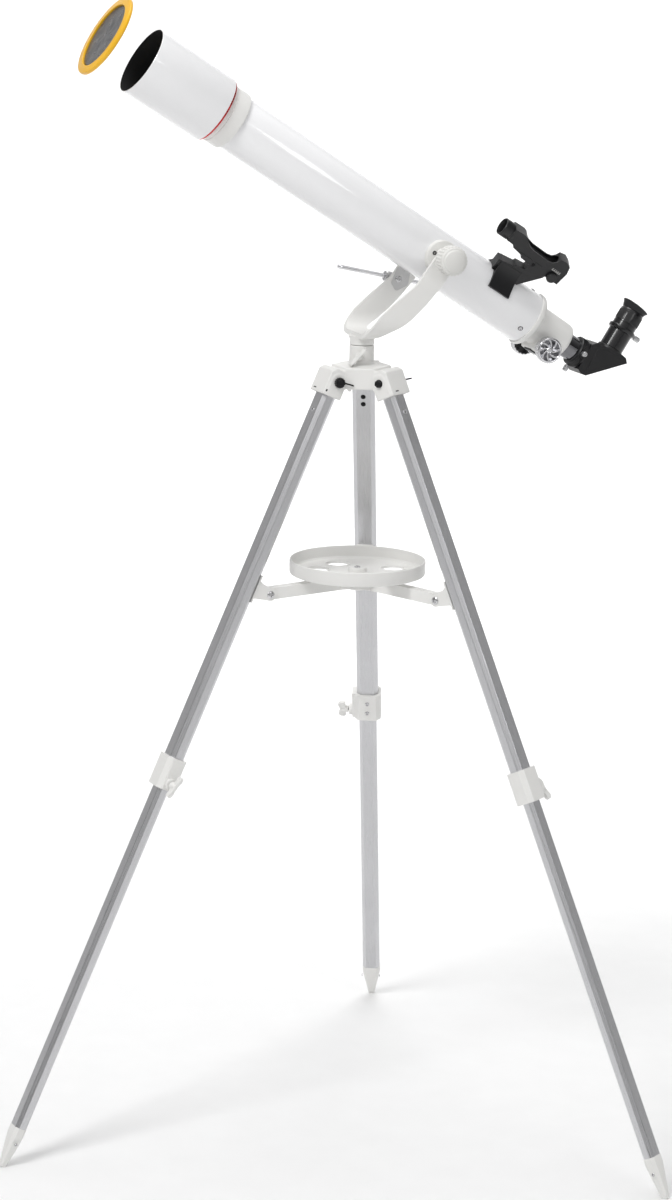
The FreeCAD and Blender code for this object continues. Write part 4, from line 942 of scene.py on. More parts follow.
def trough_path(wide, base, radius):
    """The fork's end view: down one arm, round the bottom and up the other."""
    top = AXIS_HEIGHT + FORK_END
    rise = [base + radius + (top - base - radius) * (1 - (step / 28.0)) for step in range(28)]
    ends = [AXIS_HEIGHT + FORK_END * math.cos(math.radians(step * 10)) for step in range(1, 9)]
    heights = sorted(set(rise + ends), reverse=True)
    path = [(wide, height) for height in heights]
    for step in range(13):
        turn = math.radians(step * 7.5)
        path.append((wide - radius + radius * math.cos(turn),
                     base + radius - radius * math.sin(turn)))
    path += [(wide - radius - (wide - radius) * step / 4, base) for step in range(1, 5)]
    return path + [(-y, z) for y, z in reversed(path[:-1])]


def make_fork():
    """The fork: a band that follows a U in end view, between two edges in side view."""
    outer = trough_path(FORK_HALF, FORK_BASE, 26.0)
    inner = trough_path(FORK_HALF - FORK_WALL, FORK_BASE + 7.0, 21.0)
    sections = []
    for (y_out, z_out), (y_in, z_in) in zip(outer, inner):
        sections.append([
            (fork_limit(FORK_FRONT, z_out, 1), y_out, z_out),
            (fork_limit(FORK_BACK, z_out, -1), y_out, z_out),
            (fork_limit(FORK_BACK, z_in, -1), y_in, z_in),
            (fork_limit(FORK_FRONT, z_in, 1), y_in, z_in),
        ])
    item = piece("fork_casting", loft(sections), FORK, "fork", OFF_WHITE, bevel=1.1, angle=50.0)
    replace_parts(item, "fork_mount")
    collar = lathe([(0, COLUMN_TOP - 40.0), (9.9, COLUMN_TOP - 40.0), (9.9, COLUMN_TOP + 0.6),
                    (COLUMN_RADIUS - 0.9, COLUMN_TOP + 0.6),
                    (COLUMN_RADIUS - 0.2, COLUMN_TOP + 1.4),
                    (COLUMN_RADIUS, FORK_BASE - 3.0), (COLUMN_RADIUS + 2.0, FORK_BASE + 2.0),
                    (0, FORK_BASE + 2.0)], 72)
    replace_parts(piece("fork_collar", collar, FORK, "fork", OFF_WHITE, bevel=0.3), "fork_mount")
    plate = soften([(-88.0, 1203.0), (-84.0, 1180.0), (-66.0, 1172.0), (-59.0, 1184.0),
                    (-68.0, 1206.0)], 4.0)
    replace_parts(piece("fork_plate", side_plate(plate, -FORK_HALF + FORK_WALL, -44.62), FORK,
                      "fork", BRACKET_METAL), "fork_mount")
    for sign, facing, name in ((1, LEFT, "left"), (-1, RIGHT, "right")):
        at = Matrix.Translation((-SETBACK, FORK_HALF * sign, AXIS_HEIGHT)) @ facing
        knob = altitude_knob(name, at)
        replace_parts(knob, f"altitude_knob_{name}")


def altitude_knob(side, at):
    """A moulded knob with a scalloped rim and a raised face."""
    rim = prism(lobed(20.3, 1.2, 26, 8, 0.8), 12.0, 28.0)
    skirt = lathe([(0, 0.3), (12.0, 0.3), (12.6, 8.6), (17.4, 10.6), (18.6, 12.2), (0, 12.2)], 72)
    face = lathe([(0, 27.8), (19.0, 27.8), (18.8, 29.6), (17.4, 31.0), (15.6, 31.2),
                  (15.0, 32.6), (13.4, 33.6), (0, 33.6)], 72)
    stud = disc(3.9, -11.0, 1.0, 32)
    return piece(f"altitude_grip_{side}", moved(joined(rim, skirt, face, stud), at), FORK,
                 f"altitude_knob_{side}", GREY_WHITE, bevel=0.7, angle=40.0)


# ---------------------------------------------------------------- slow motion rod

ROD_BORE = 3.4


def make_slow_motion():
    """The chrome rod with an eye and a capped end, and its clamp on the far arm."""
    gap = (joint_place("rod_clamp_swivel") - joint_place("rod_pivot")).length / MM
    shaft = lathe([(0, 4.0), (3.0, 4.0), (3.0, 121.0), (2.5, 121.4), (2.5, 122.2), (3.3, 122.6),
                   (3.3, 126.6), (2.3, 128.3), (0, 128.5)], 36)
    eye = moved(ring(2.6, 6.2, -2.5, 2.5, 40), LEFT)
    item = piece("rod", joined(moved(shaft, AHEAD), eye), ROD, "rod", CHROME)
    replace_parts(item, "slow_motion_rod")
    body = slab((gap - 8.0, -8.0, -7.0), (gap + 8.0, 5.5, 7.0))
    sleeve = moved(ring(ROD_BORE, 5.2, gap + 7.5, gap + 15.0, 36), AHEAD)
    flange = moved(ring(ROD_BORE, 7.0, gap + 14.0, gap + 15.6, 36), AHEAD)
    item = piece("rod_block", joined(body, sleeve, flange), ROD, "rod_clamp", STEEL, bevel=0.8,
                 cut=[moved(disc(ROD_BORE, gap - 20.0, gap + 20.0, 36), AHEAD)])
    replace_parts(item, "rod_clamp")
    bolt = Matrix.Translation((gap, 14.4, 0)) @ LEFT
    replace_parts(screw("rod_block_bolt", 4.6, 2.4, bolt, ROD, "rod_clamp"), "rod_clamp")


def make_rod_lug():
    """The sheet lug under the tube that carries the rod's pivot."""
    x, z, side = -34.9, -33.3, 59.0
    plate = soften([(x - 7.0, z - 6.5), (x + 6.5, z - 6.5), (x + 6.5, z + 6.5), (x - 7.0, z + 6.5)],
                   3.0)
    lug = side_plate(plate, 3.5 - side, 6.5 - side)
    strap = slab((x - 6.0, 6.0 - side, z + 1.5), (x + 3.0, -16.5, z + 4.5))
    item = piece("rod_lug", joined(lug, strap), TUBE, "tube", BRACKET_METAL, bevel=0.5)
    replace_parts(item, "rod_bracket")
    at = Matrix.Translation((x, -side - 3.0, z)) @ RIGHT
    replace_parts(screw("rod_pivot_screw", 4.4, 2.2, at, TUBE, "tube"), "rod_bracket")
    pin = moved(disc(2.4, -4.0, 8.0, 24), Matrix.Translation((x, 4.0 - side, z)) @ RIGHT)
    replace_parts(piece("rod_pivot_pin", pin, TUBE, "tube", STEEL), "rod_bracket")


# ---------------------------------------------------------------- optical tube

TUBE_RADIUS, TUBE_INSIDE, TUBE_FRONT, TUBE_BACK = 37.5, 36.2, 342.0, -169.0
CELL_RADIUS, CELL_FRONT, RING_FRONT, SHIELD_FRONT = 41.0, 369.7, 372.2, 492.2
SHIELD_RADIUS = 47.3
FACETS = 160


def tube_part(name, profile, material, node, body="tube", steps=FACETS, **extra):
    """A turned piece on the tube's axis that stands for one node of the design."""
    item = piece(name, moved(lathe(profile, steps), AHEAD), TUBE, body, material, angle=28.0,
                 **extra)
    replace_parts(item, node)
    return item


def make_tube():
    """The painted tube, the lens cell, the trim ring, the dew shield and the inside."""
    inside, radius = TUBE_INSIDE, TUBE_RADIUS
    tube_part("tube_skin", soften([(inside, TUBE_BACK), (radius, TUBE_BACK), (radius, TUBE_FRONT),
                                   (inside, TUBE_FRONT)], 0.4, 2), WHITE_PAINT, "main_tube")
    cell = CELL_RADIUS
    tube_part("lens_cell", [
        (33.5, 330.0), (inside - 0.05, 330.0), (inside - 0.05, 342.0), (cell - 1.4, 342.0),
        (cell - 0.2, 343.0), (cell, 345.0), (cell, 362.0), (cell - 0.7, 362.5),
        (cell - 0.7, 364.0), (cell, 364.5), (cell, 369.7), (35.1, 369.7), (35.1, 350.0),
        (33.5, 350.0)], OFF_WHITE, "objective_cell")
    tube_part("retaining_ring", soften([(32.5, 364.2), (35.05, 364.2), (35.05, 369.0),
                                        (32.5, 368.0)], 0.3, 2), DARK_INSIDE, "objective_cell")
    tube_part("trim_ring", [(36.0, CELL_FRONT), (45.2, CELL_FRONT), (45.5, 370.1), (45.5, 371.8),
                            (45.2, RING_FRONT), (36.0, RING_FRONT)], RED_METAL, "accent_ring")
    shield = SHIELD_RADIUS
    tube_part("shield_skin", [
        (36.0, RING_FRONT), (shield - 1.2, RING_FRONT), (shield - 0.3, 372.6), (shield, 373.6),
        (shield, SHIELD_FRONT - 0.5), (shield - 0.4, SHIELD_FRONT), (shield - 0.9, SHIELD_FRONT),
        (shield - 0.9, 374.0), (36.0, 374.0)], WHITE_PAINT, "dew_shield")
    tube_part("shield_lining", [
        (36.0, 374.0), (shield - 0.95, 374.0), (shield - 0.95, SHIELD_FRONT - 0.2),
        (shield - 1.5, SHIELD_FRONT - 0.2), (shield - 1.5, 375.2), (36.0, 375.2)],
        DARK_INSIDE, "dew_shield")
    tube_part("baffle_tube", [(inside - 0.1, TUBE_BACK + 21.0), (inside - 0.1, 329.5),
                              (inside - 0.5, 329.5), (inside - 0.5, TUBE_BACK + 21.0)],
              DARK_INSIDE, "main_tube")
    make_side_discs()
    make_tube_screws()


def make_side_discs():
    """The moulded discs that the altitude knobs clamp against."""
    for sign, facing, name in ((1, LEFT, "left"), (-1, RIGHT, "right")):
        at = Matrix.Translation((2.0 if sign > 0 else 0.0, 0, 0)) @ facing
        outline = [(4.4, 30.0), (23.2, 30.0), (23.2, 42.6), (22.4, 44.2), (21.4, 44.6),
                   (4.4, 44.6)]
        saddle = moved(disc(TUBE_RADIUS, -40.0, 40.0, FACETS), AHEAD)
        item = piece(f"side_disc_{name}", moved(lathe(outline, 96), at), TUBE, "tube",
                     GREY_WHITE, bevel=0.3, cut=[saddle])
        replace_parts(item, "side_discs")
        spot_at = Matrix.Translation((16.3, 44.0 * sign, -1.0)) @ facing
        # A flat black ring round the screw: painted shade for the recess that it sits in.
        hole = moved(ring(1.9, 3.0, 0, 0.9, 32), spot_at)
        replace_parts(piece(f"side_disc_recess_{name}", hole, TUBE, "tube", BLACK_PLASTIC),
                    "side_discs")
        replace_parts(screw(f"side_disc_screw_{name}", 2.1, 0.8, spot_at, TUBE, "tube",
                          BLACK_STEEL),
                    "side_discs")


def make_tube_screws():
    """The three screws through the tube's back end, each in a black ring of painted shade for its
    dimple.
    """
    for number, turn in enumerate((-32.0, 88.0, 208.0)):
        about = Matrix.Rotation(math.radians(turn - 90.0), 4, "X")
        at = about @ Matrix.Translation((TUBE_BACK + 12.5, 0, TUBE_RADIUS - 0.2))
        # A flat black ring round each screw: painted shade for the dimple that it sits in.
        dimple = moved(ring(2.2, 3.6, 0.1, 0.6, 36), at)
        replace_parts(piece(f"tube_dimple_{number}", dimple, TUBE, "tube", BLACK_PLASTIC),
                    "tube_screws")
        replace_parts(screw(f"tube_screw_{number}", 2.9, 1.5, at, TUBE, "tube"), "tube_screws")


def make_solar_filter():
    """The amber filter cell: a flat ring with a raised inner lip, and its crinkled film."""
    back, front, outer, inner = 547.5, 553.5, 57.8, 46.0
    profile = [(inner, back), (outer - 1.8, back), (outer - 0.4, back + 0.8), (outer, back + 2.0),
               (outer, front - 2.2), (outer - 0.6, front - 0.8), (outer - 2.0, front - 0.2),
               (inner + 3.4, front - 0.2), (inner + 2.8, front), (inner + 0.6, front),
               (inner, front - 0.6)]
    tube_part("filter_cell", profile, YELLOW, "solar_filter_frame", "filter")
    points, faces, rings = [(0, 0, 0)], [], 14
    for level in range(1, rings + 1):
        for step in range(72):
            turn = 2 * math.pi * step / 72
            reach = (inner + 0.3) * level / rings
            swell = math.sin(3 * turn + reach * 0.13) + 0.6 * math.sin(7 * turn - reach * 0.21)
            lift = 0.22 * swell * min(level / 4, 1.0) * (1 - (level / rings) ** 4)
            points.append((reach * math.cos(turn), reach * math.sin(turn), lift))
    for step in range(72):
        near = (step + 1) % 72
        faces.append((0, 1 + step, 1 + near))
        for level in range(rings - 1):
            low, high = 1 + level * 72, 1 + (level + 1) * 72
            faces.append((low + step, high + step, high + near, low + near))
    sheet = [Vector(point) for point in points], faces
    item = piece("filter_film", moved(sheet, Matrix.Translation(((back + front) / 2, 0, 0))
                                      @ AHEAD), TUBE, "filter", FILM)
    thick = item.modifiers.new("thickness", "SOLIDIFY")
    thick.thickness = 0.4 * MM
    thick.offset = 0.0
    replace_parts(item, "solar_film")


# ---------------------------------------------------------------- focuser

HOUSING_RADIUS, HOUSING_END = 26.0, -237.0
DRAW_RADIUS, DRAW_BORE, DRAW_END, COLLAR_END, COLLAR_RADIUS = 17.1, 15.95, -257.0, -270.0, 21.6
COLLAR_SCREWS = -262.0
PINION_X, PINION_Z = -205.0, -24.4


def make_focuser():
    """The moulded housing with its lip, pinion boss and cover plate."""
    slim, bore = HOUSING_RADIUS, DRAW_RADIUS + 0.1
    profile = [(bore, -149.0), (36.0, -149.0), (36.0, TUBE_BACK), (38.4, TUBE_BACK),
               (39.0, -169.6), (39.0, -174.0), (38.2, -175.6), (36.0, -178.0), (34.6, -178.6),
               (29.5, -180.4), (27.6, -182.4), (27.0, -186.0), (slim, HOUSING_END + 5.0),
               (slim - 1.0, HOUSING_END + 2.0), (slim - 3.2, HOUSING_END), (bore, HOUSING_END)]
    shell = moved(lathe(profile, 112), AHEAD)
    boss_outline = soften([(-11.0, -9.0), (11.0, -9.0), (11.0, 14.0), (-11.0, 14.0)], 4.0)
    boss = side_plate([(x + PINION_X, z + PINION_Z) for x, z in boss_outline], -22.0, 22.0)
    item = piece("focuser_shell", joined(shell, boss), TUBE, "tube", OFF_WHITE, bevel=0.6,
                 angle=32.0)
    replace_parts(item, "focuser_housing")
    cover = slab((PINION_X - 9.0, -11.0, PINION_Z - 11.0), (PINION_X + 9.0, 11.0, PINION_Z - 8.0))
    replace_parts(piece("pinion_cover", cover, TUBE, "tube", BLACK_PLASTIC, bevel=0.8),
                "focuser_housing")
    for number, y in enumerate((-7.0, 7.0)):
        at = Matrix.Translation((PINION_X, y, PINION_Z - 10.9)) @ DOWN
        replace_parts(screw(f"cover_screw_{number}", 2.6, 1.4, at, TUBE, "tube"),
                    "focuser_housing")


RACK_START, RACK_END = -231.0, -124.0
PINION_RADIUS, PINION_TEETH = 5.0, 10


def make_drawtube():
    """The chrome drawtube, its rack, and the black knurled collar."""
    outer, inner = DRAW_RADIUS, DRAW_BORE
    # The sleeve is chrome with its base colour darkened: a painted dark reflection.
    tube_part("draw_sleeve", [(inner, DRAW_END), (outer, DRAW_END), (outer, -110.4),
                              (outer - 0.3, -110.0), (inner, -110.0)],
              CHROME_PAINTED_SHADE_AND_REFLECTION, "drawtube", "drawtube", 112)
    pitch = 2 * math.pi * PINION_RADIUS / PINION_TEETH
    teeth = [slab((RACK_START, -4.0, -18.2), (RACK_END, 4.0, -16.6))]
    count = int((RACK_END - RACK_START) / pitch)
    for number in range(count):
        start = -230.6 + number * pitch
        teeth.append(slab((start, -4.0, -19.6), (start + 1.3, 4.0, -18.0)))
    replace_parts(piece("draw_rack", joined(*teeth), TUBE, "drawtube", STEEL, bevel=0.15),
                "drawtube")
    ribs = lobed(COLLAR_RADIUS, 0.8, 56, 6)
    knurl = moved(prism(ribs, -DRAW_END + 2.0, -COLLAR_END - 2.4), BACK)
    body = moved(lathe([(inner, -DRAW_END), (20.6, -DRAW_END), (21.6, 1.2 - DRAW_END),
                        (20.6, 2.4 - DRAW_END), (20.6, -COLLAR_END - 2.8),
                        (COLLAR_RADIUS, -COLLAR_END - 2.2), (COLLAR_RADIUS, -COLLAR_END - 0.6),
                        (21.4, -COLLAR_END), (inner, -COLLAR_END)], 112), BACK)
    item = piece("draw_collar", joined(body, knurl), TUBE, "drawtube", BLACK_PLASTIC, bevel=0.2,
                 cut=[moved(disc(DRAW_BORE, -DRAW_END - 4.0, 4.0 - COLLAR_END, 96), BACK)])
    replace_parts(item, "drawtube")


def spoke(inner, outer, turn, thick):
    """One curved spoke of a wheel, in the wheel's plane."""
    near, far = [], []
    for step in range(9):
        share = step / 8
        reach = inner + (outer - inner) * share
        bend = math.radians(turn) + 0.62 * share
        for side, row in ((-1, near), (1, far)):
            lean = bend + side * thick / reach / 2 * (1.0 + 0.9 * share)
            row.append((reach * math.cos(lean), reach * math.sin(lean)))
    return near + far[::-1]


def focus_knob(side, facing):
    """A chromed wheel: a milled rim, a dished web with curved spokes, and a hub."""
    at = (Matrix.Translation((PINION_X, 0, PINION_Z)) @ facing
          @ Matrix.Diagonal((1.08, 1.08, 1.0, 1.0)))
    radius = 17.0
    rim = prism(lobed(radius, 0.7, 44, 6), 37.2, 46.6)
    parts = [
        lathe([(13.6, 36.2), (15.8, 36.2), (16.6, 37.4), (16.2, 46.6), (15.6, 47.8),
               (14.4, 48.0), (13.6, 47.2)], 88),
        lathe([(0, 39.0), (4.0, 39.0), (4.2, 45.6), (3.0, 46.8), (0, 47.0)], 48),
    ]
    for number in range(8):
        parts.append(prism(spoke(3.6, 14.2, number * 45.0, 1.6), 39.2, 45.6))
    body = moved(joined(*parts), at)
    knob = piece(f"focus_wheel_{side}", body, TUBE, "focus_drive", CHROME, bevel=0.3, angle=30.0)
    band = piece(f"focus_milling_{side}", moved(rim, at), TUBE, "focus_drive", STEEL, bevel=0.15,
                 cut=[moved(disc(15.4, 30.0, 60.0, 88), at)])
    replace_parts(knob, f"focus_knob_{side}")
    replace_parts(band, f"focus_knob_{side}")
    # The web inside the wheel in darkened chrome: painted shade for the wheel's shadowed inside.
    web = lathe([(2.5, 30.0), (6.0, 30.0), (6.2, 36.0), (14.0, 37.0), (14.0, 39.6), (2.5, 39.6)],
                72)
    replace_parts(piece(f"focus_web_{side}", moved(web, at), TUBE, "focus_drive", CHROME_PAINTED_SHADE_AND_REFLECTION),
                f"focus_knob_{side}")
    # A black ribbed disc behind each wheel: painted shade for the shadowed back of the chrome wheel.
    ribs = prism(lobed(16.2, 1.3, 20, 6, 0.7), 35.0, 38.0)
    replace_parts(piece(f"focus_back_{side}", moved(ribs, at), TUBE, "focus_drive", BLACK_GLOSS,
                      bevel=0.3), f"focus_knob_{side}")


def knurled_screw(name, start, at, place, body, material=None):
    """A small thumb screw along Z with a milled head and a dished end."""
    head = prism(lobed(3.9, 0.4, 18, 6), start + 7.2, start + 14.4)
    trim = lathe([(0, start + 6.5), (3.3, start + 6.5), (3.6, start + 7.4), (3.6, start + 14.6),
                  (3.1, start + 15.4), (2.1, start + 15.4), (1.7, start + 13.0),
                  (0, start + 13.0)], 40)
    shank = threaded(2.0, start, start + 6.8, 0.7)
    return piece(name, moved(joined(head, trim, shank), at), place, body, material or STEEL,
                 bevel=0.12)


def make_thumb_screws():
    """The collar's two screws, the erecting lens's screw and the focus lock."""
    middle = Matrix.Translation((COLLAR_SCREWS, 0, 0))
    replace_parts(knurled_screw("collar_thumb_side", 16.1, middle @ LEFT, TUBE, "collar_screw_side"),
                "collar_screw_side")
    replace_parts(knurled_screw("collar_thumb_lower", 16.1, middle @ DOWN, TUBE,
                              "collar_screw_lower"), "collar_screw_lower")
    at = Matrix.Translation((EYEPIECE_X, 0, 61.2)) @ BACK
    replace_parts(knurled_screw("erector_thumb", 16.1, at, TUBE, "erector_screw"),
                "erecting_lens_screw")
    at = Matrix.Translation((HOUSING_END + 9.0, 0, 0)) @ DOWN
    head = lathe([(0, 20.3), (2.0, 20.3), (2.0, 27.5), (3.8, 27.5), (4.5, 28.4), (4.5, 34.6),
                  (3.7, 35.5), (0, 35.5)], 40)
    milling = prism(lobed(4.7, 0.4, 20, 6), 28.6, 34.4)
    item = piece("focus_lock_thumb", moved(joined(head, milling), at), TUBE, "focus_lock",
                 BLACK_STEEL, bevel=0.15)
    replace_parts(item, "focus_lock_screw")


# ---------------------------------------------------------------- diagonal and eyepiece

EYEPIECE_X = -306.0
WEDGE_HALF = 19.0
WEDGE = [(-270.3, 19.0), (-276.0, 25.0), (-318.0, 30.0), (-325.5, 29.0), (-331.0, 23.5),
         (-285.5, -22.6), (-277.5, -24.2), (-270.3, -21.0)]


def make_diagonal():
    """The wedge-shaped diagonal with its nose, top ring and side panels."""
    wedge = side_plate(WEDGE, -WEDGE_HALF, WEDGE_HALF)
    nose = moved(ring(14.0, 15.87, -270.5, -234.0, 80), AHEAD)
    rim = moved(lathe([(15.95, 20.0), (19.0, 20.0), (19.0, 30.0), (18.2, 31.0), (15.95, 31.0)], 88),
                Matrix.Translation((EYEPIECE_X, 0, 0)))
    item = piece("diagonal_shell", joined(wedge, nose, rim), TUBE, "diagonal",
                 BLACK_PLASTIC, bevel=1.0, angle=35.0)
    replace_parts(item, "diagonal_body")
    panel = [(-280.0, 17.0), (-284.0, 21.5), (-319.0, 26.0), (-325.0, 22.5), (-288.0, -16.0),
             (-282.0, -18.0)]
    for name, low, high in (("left", WEDGE_HALF - 0.2, WEDGE_HALF + 0.5),
                            ("right", -WEDGE_HALF - 0.5, 0.2 - WEDGE_HALF)):
        item = piece(f"diagonal_panel_{name}", side_plate(soften(panel, 3.0), low, high), TUBE,
                     "diagonal", BLACK_PLASTIC, bevel=0.3)
        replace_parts(item, "diagonal_body")


def make_eyepiece():
    """The erecting lens's barrel and ring, the eyepiece, its lens and the flared cup."""
    place = TUBE @ Matrix.Translation((EYEPIECE_X * MM, 0, 0))
    erector = [(12.5, 14.0), (15.8, 14.0), (15.8, 31.3), (17.2, 31.6), (17.2, 57.4), (18.6, 57.6),
               (19.6, 58.4), (20.0, 59.4), (20.0, 63.0), (19.4, 64.0), (15.95, 64.0),
               (15.95, 44.0), (12.5, 44.0)]
    item = piece("erector_barrel", lathe(erector, 96), place, "erector", BLACK_GLOSS, angle=28.0)
    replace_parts(item, "erecting_lens")
    barrel = [(10.0, 44.3), (15.8, 44.3), (15.8, 64.3), (17.2, 64.6), (17.2, 70.0), (16.8, 70.3),
              (16.8, 71.0), (17.2, 71.3), (17.3, 88.6), (16.8, 89.6), (15.6, 92.0), (10.0, 92.0),
              (9.6, 88.0), (10.0, 80.0)]
    item = piece("eyepiece_barrel", lathe(barrel, 96), place, "eyepiece", BLACK_GLOSS, angle=28.0)
    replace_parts(item, "eyepiece")
    grip = prism(lobed(17.5, 0.35, 60, 6), 72.6, 86.6)
    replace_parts(piece("eyepiece_grip", grip, place, "eyepiece", RUBBER, bevel=0.15,
                      cut=[disc(15.9, 60.0, 100.0, 96)]), "eyepiece")
    lens = lathe([(0, 86.0), (9.9, 86.0), (9.9, 88.4), (6.0, 89.4), (0, 89.8)], 64)
    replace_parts(piece("eye_lens", lens, place, "eyepiece", GLASS), "eyepiece")
    cup = lathe([(10.0, 91.8), (16.4, 91.8), (17.0, 93.2), (18.2, 96.4), (20.0, 99.0),
                 (19.6, 99.4), (17.2, 97.0), (15.4, 94.6), (10.6, 94.0)], 96)
    lean = []
    for point in cup[0]:
        lift = max(point.z - 94.0, 0.0) / 5.0
        lean.append(Vector((point.x, point.y, point.z + point.x * 0.10 * lift)))
    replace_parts(piece("rubber_cup", (lean, cup[1]), place, "eyepiece", RUBBER), "eyecup")


# ---------------------------------------------------------------- finder

FINDER_AXIS = 93.0
FINDER_SIDE = [
    (-62.0, 104.3), (-79.0, 104.8), (-84.0, 103.0), (-89.0, 98.5), (-95.0, 95.0), (-104.0, 93.0),
    (-130.0, 92.2), (-137.0, 94.0), (-141.0, 98.5), (-143.0, 104.5), (-152.0, 106.2),
    (-160.0, 102.5), (-163.6, 92.0), (-163.0, 71.0), (-112.0, 71.0), (-111.0, 73.0),
    (-95.5, 74.0), (-93.5, 77.5), (-77.0, 80.0), (-74.0, 83.5), (-62.0, 84.0),
]
SADDLE_SIDE = [
    (-76.0, 30.0), (-74.0, 54.0), (-98.0, 57.5), (-99.0, 61.0), (-113.0, 62.5), (-115.0, 71.0),
    (-143.0, 71.0), (-141.0, 66.0), (-118.0, 34.0), (-114.0, 30.0),
]
SADDLE_END = [
    (-29.5, 20.0), (29.5, 20.0), (33.8, 24.0), (25.0, 31.0), (17.0, 38.5), (11.5, 46.5),
    (9.6, 55.0), (-9.6, 55.0), (-11.5, 46.5), (-17.0, 38.5), (-25.0, 31.0), (-33.8, 24.0),
]


def make_finder():
    """The red-dot finder: a barrel, an open trough, a rear box and a stepped underside."""
    bore = moved(disc(8.7, -170.0, -40.0, 64), Matrix.Translation((0, 0, FINDER_AXIS)) @ AHEAD)
    trough = side_plate(soften([(-88.0, 125.0), (-88.0, 96.0), (-96.0, 89.0), (-134.0, 88.0),
                                (-140.5, 95.0), (-140.5, 125.0)], 4.0), -8.6, 8.6)
    item = piece("finder_shell", side_plate(FINDER_SIDE, -10.8, 10.8), FINDER, "tube",
                 BLACK_PLASTIC, bevel=0.9, cut=[bore, trough])
    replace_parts(item, "finder_body")
    at = Matrix.Translation((0, 0, FINDER_AXIS)) @ AHEAD
    barrel = lathe([(9.0, -67.0), (11.4, -67.0), (11.6, -62.4), (12.4, -61.6), (12.4, -48.0),
                    (11.8, -47.3), (10.8, -47.3), (10.4, -49.0), (9.0, -52.0)], 80)
    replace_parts(piece("finder_barrel", moved(barrel, at), FINDER, "tube", BLACK_PLASTIC,
                      angle=28.0), "finder_body")
    lens = lathe([(0, -56.0), (8.9, -56.0), (8.9, -54.6), (0, -53.6)], 64)
    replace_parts(piece("finder_lens", moved(lens, at), FINDER, "tube", GLASS), "finder_body")
    rail = joined(slab((-128.0, -11.4, 79.0), (-84.0, -10.6, 81.0)),
                  slab((-128.0, 10.6, 79.0), (-84.0, 11.4, 81.0)))
    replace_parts(piece("finder_seam", rail, FINDER, "tube", BLACK_PLASTIC, bevel=0.2),
                "finder_body")
    at = Matrix.Translation((-117.0, 10.8, 75.5)) @ LEFT
    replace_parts(screw("finder_screw", 2.9, 1.2, at, FINDER, "tube", BLACK_STEEL), "finder_body")
    make_finder_dial()
    saddle_cut = moved(disc(TUBE_RADIUS, -160.0, -60.0, FACETS), AHEAD)
    web = side_plate(SADDLE_SIDE, -9.0, 9.0)
    flare = end_plate(SADDLE_END, -114.0, -79.0)
    item = piece("finder_foot", joined(web, flare), FINDER, "tube", BLACK_PLASTIC, bevel=0.8,
                 cut=[saddle_cut])
    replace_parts(item, "finder_saddle")


def make_finder_dial():
    """The brightness dial with milled edge, and plain tick marks above it."""
    at = Matrix.Translation((-149.0, 10.9, 76.0)) @ LEFT
    wheel = prism(lobed(7.6, 0.5, 30, 6), 0, 4.0)
    face = lathe([(0, 3.6), (6.2, 3.6), (5.8, 4.8), (2.0, 5.0), (0, 4.4)], 48)
    item = piece("dial_wheel", moved(joined(wheel, face), at), FINDER, "finder_dial",
                 BLACK_PLASTIC, bevel=0.2)
    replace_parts(item, "finder_dial")
    ticks = [slab((-155.0 + 3.0 * step, 10.75, 86.0), (-154.4 + 3.0 * step, 10.95, 88.6))
             for step in range(5)]
    ticks.append(slab((-156.0, 10.75, 85.2), (-141.6, 10.95, 85.6)))
    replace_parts(piece("dial_ticks", joined(*ticks), FINDER, "tube", GREY_WHITE), "finder_body")


# ---------------------------------------------------------------- the whole object

make_hub()
make_pivot_fasteners()
make_azimuth_lock()
for side in SIDES:
    make_leg(side)
    make_arm(side)
make_tray()
make_spreader_hub()
make_fork()
make_slow_motion()
make_rod_lug()
make_tube()
make_solar_filter()
make_focuser()
make_drawtube()
focus_knob("left", LEFT)
focus_knob("right", RIGHT)
make_thumb_screws()
make_diagonal()
make_eyepiece()
make_finder()

# ---------------------------------------------------------------- stage, light and camera


def make_floor():
    """A wide pale floor that curves up into a wall far behind."""
    reach, start, bend = 60.0, 5.0, 4.0
    line = [(-reach, 0.0), (start, 0.0)]
    line += [(start + bend * math.sin(math.radians(step * 7.5)),
              bend - bend * math.cos(math.radians(step * 7.5))) for step in range(1, 13)]
    line.append((start + bend, 12.0))
    points = [(x, y, z) for y, z in line for x in (-reach, reach)]
    faces = [(2 * step, 2 * step + 1, 2 * step + 3, 2 * step + 2) for step in range(len(line) - 1)]
    mesh = bpy.data.meshes.new("floor")
    mesh.from_pydata(points, [], faces)
    smooth_by_angle(mesh, 60.0)
    floor = bpy.data.objects.new("floor", mesh)
    bpy.context.scene.collection.objects.link(floor)
    floor.data.materials.append(
        surface("pale_floor", (0.90, 0.90, 0.90), 0.8, grain=40.0, bump=0.02, vary=0.01)
    )


def area_light(name, place, target, size, watts):
    """A soft square light aimed at a point."""
    light = bpy.data.lights.new(name, "AREA")
    light.shape = "SQUARE"
    light.size = size
    light.energy = watts
    lamp = bpy.data.objects.new(name, light)
    bpy.context.scene.collection.objects.link(lamp)
    lamp.location = place
    lamp.rotation_euler = (Vector(target) - Vector(place)).to_track_quat("-Z", "Y").to_euler()


def calculate(tree, operation, *sources):
    """A maths node that reads the sources."""
    node = tree.nodes.new("ShaderNodeMath")
    node.operation = operation
    for socket, source in zip(node.inputs, sources):
        tree.links.new(source, socket)
    return node.outputs["Value"]


def remap(tree, source, start, end):
    """A node that maps one range of values onto another."""
    node = tree.nodes.new("ShaderNodeMapRange")
    for name, value in zip(("From Min", "From Max", "To Min", "To Max"), (*start, *end)):
        node.inputs[name].default_value = value
    tree.links.new(source, node.inputs["Value"])
    return node.outputs["Result"]


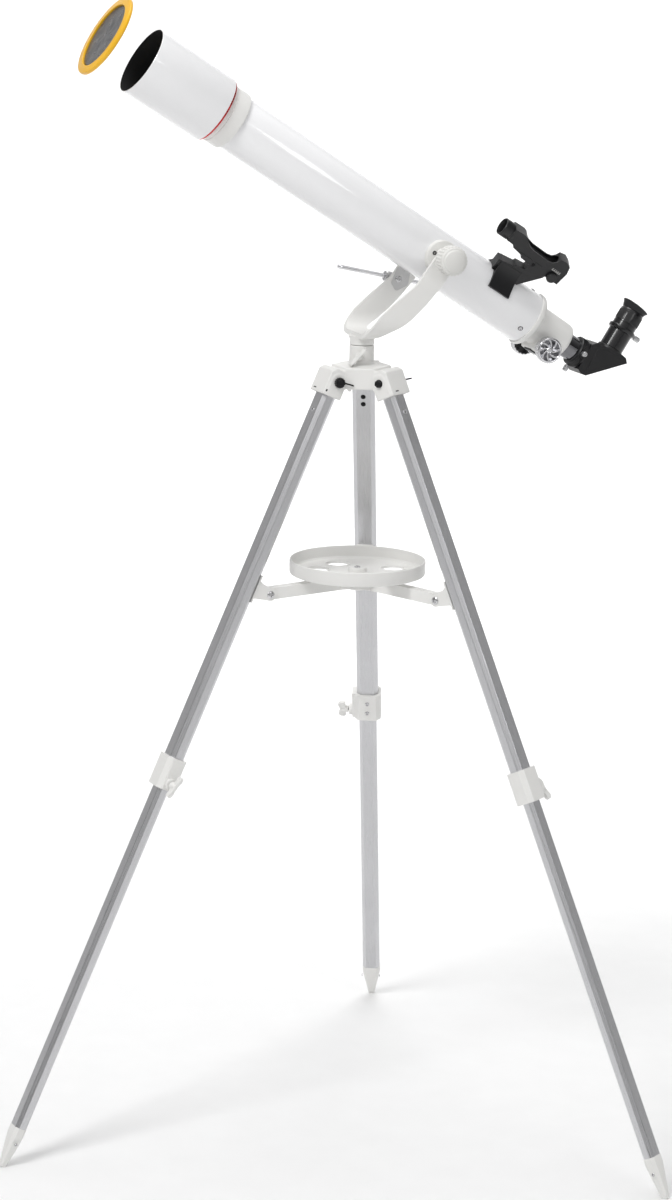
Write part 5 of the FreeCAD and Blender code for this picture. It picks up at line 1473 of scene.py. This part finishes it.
# name, place, target, width in metres, watts
LIGHTS = (
    ("key", (-1.5, -2.6, 4.2), (0, 0, 0.9), 1.3, 86),
    ("fill", (2.6, -3.0, 2.4), (0, 0, 0.9), 1.0, 14),
    ("top", (0.3, 0.4, 4.4), (0, 0, 1.0), 1.6, 26),
    ("backdrop", (0, 3.2, 4.6), (0, 7.5, 1.0), 3.0, 260),
)


def make_light():
    """White surroundings, darker to the sides and near the horizon, and the four lights."""
    world = bpy.data.worlds.new("studio")
    bpy.context.scene.world = world
    world.use_nodes = True
    tree = world.node_tree
    sky = tree.nodes["Background"]
    place = tree.nodes.new("ShaderNodeTexCoord")
    axes = tree.nodes.new("ShaderNodeSeparateXYZ")
    tree.links.new(place.outputs["Generated"], axes.inputs["Vector"])
    sideways = calculate(tree, "ABSOLUTE", axes.outputs["X"])
    shade = remap(tree, sideways, (0.45, 0.95), (0.74, 0.12))
    rise = remap(tree, axes.outputs["Z"], (0.05, 0.45), (0.22, 1.0))
    tree.links.new(calculate(tree, "MULTIPLY", shade, rise), sky.inputs["Strength"])
    sky.inputs["Color"].default_value = (1.0, 1.0, 1.0, 1)
    for light in LIGHTS:
        area_light(*light)
    bpy.context.scene.view_settings.view_transform = "Standard"


CAMERA_PLACE = Vector((0.3143, -4.5147, 1.7590))
CAMERA_PAN = -0.07583
CAMERA_TILT = 0.21927
CAMERA_ROLL = 0.01884
CAMERA_LENS, CAMERA_SENSOR = 100.62, 36.0


def make_camera():
    """The camera, placed from the stand's axis, with its pan, downward tilt and roll."""
    data = bpy.data.cameras.new("camera")
    data.lens = CAMERA_LENS
    data.sensor_width = CAMERA_SENSOR
    data.clip_end = 100.0
    camera = bpy.data.objects.new("camera", data)
    bpy.context.scene.collection.objects.link(camera)
    ahead = Vector((math.sin(CAMERA_PAN) * math.cos(CAMERA_TILT),
                    math.cos(CAMERA_PAN) * math.cos(CAMERA_TILT), -math.sin(CAMERA_TILT)))
    level = Vector((math.cos(CAMERA_PAN), -math.sin(CAMERA_PAN), 0))
    upright = level.cross(ahead)
    right = level * math.cos(CAMERA_ROLL) + upright * math.sin(CAMERA_ROLL)
    above = upright * math.cos(CAMERA_ROLL) - level * math.sin(CAMERA_ROLL)
    camera.matrix_world = axes_matrix(CAMERA_PLACE + STAND.translation, right, above, -ahead)
    bpy.context.scene.camera = camera


make_floor()
make_light()
make_camera()
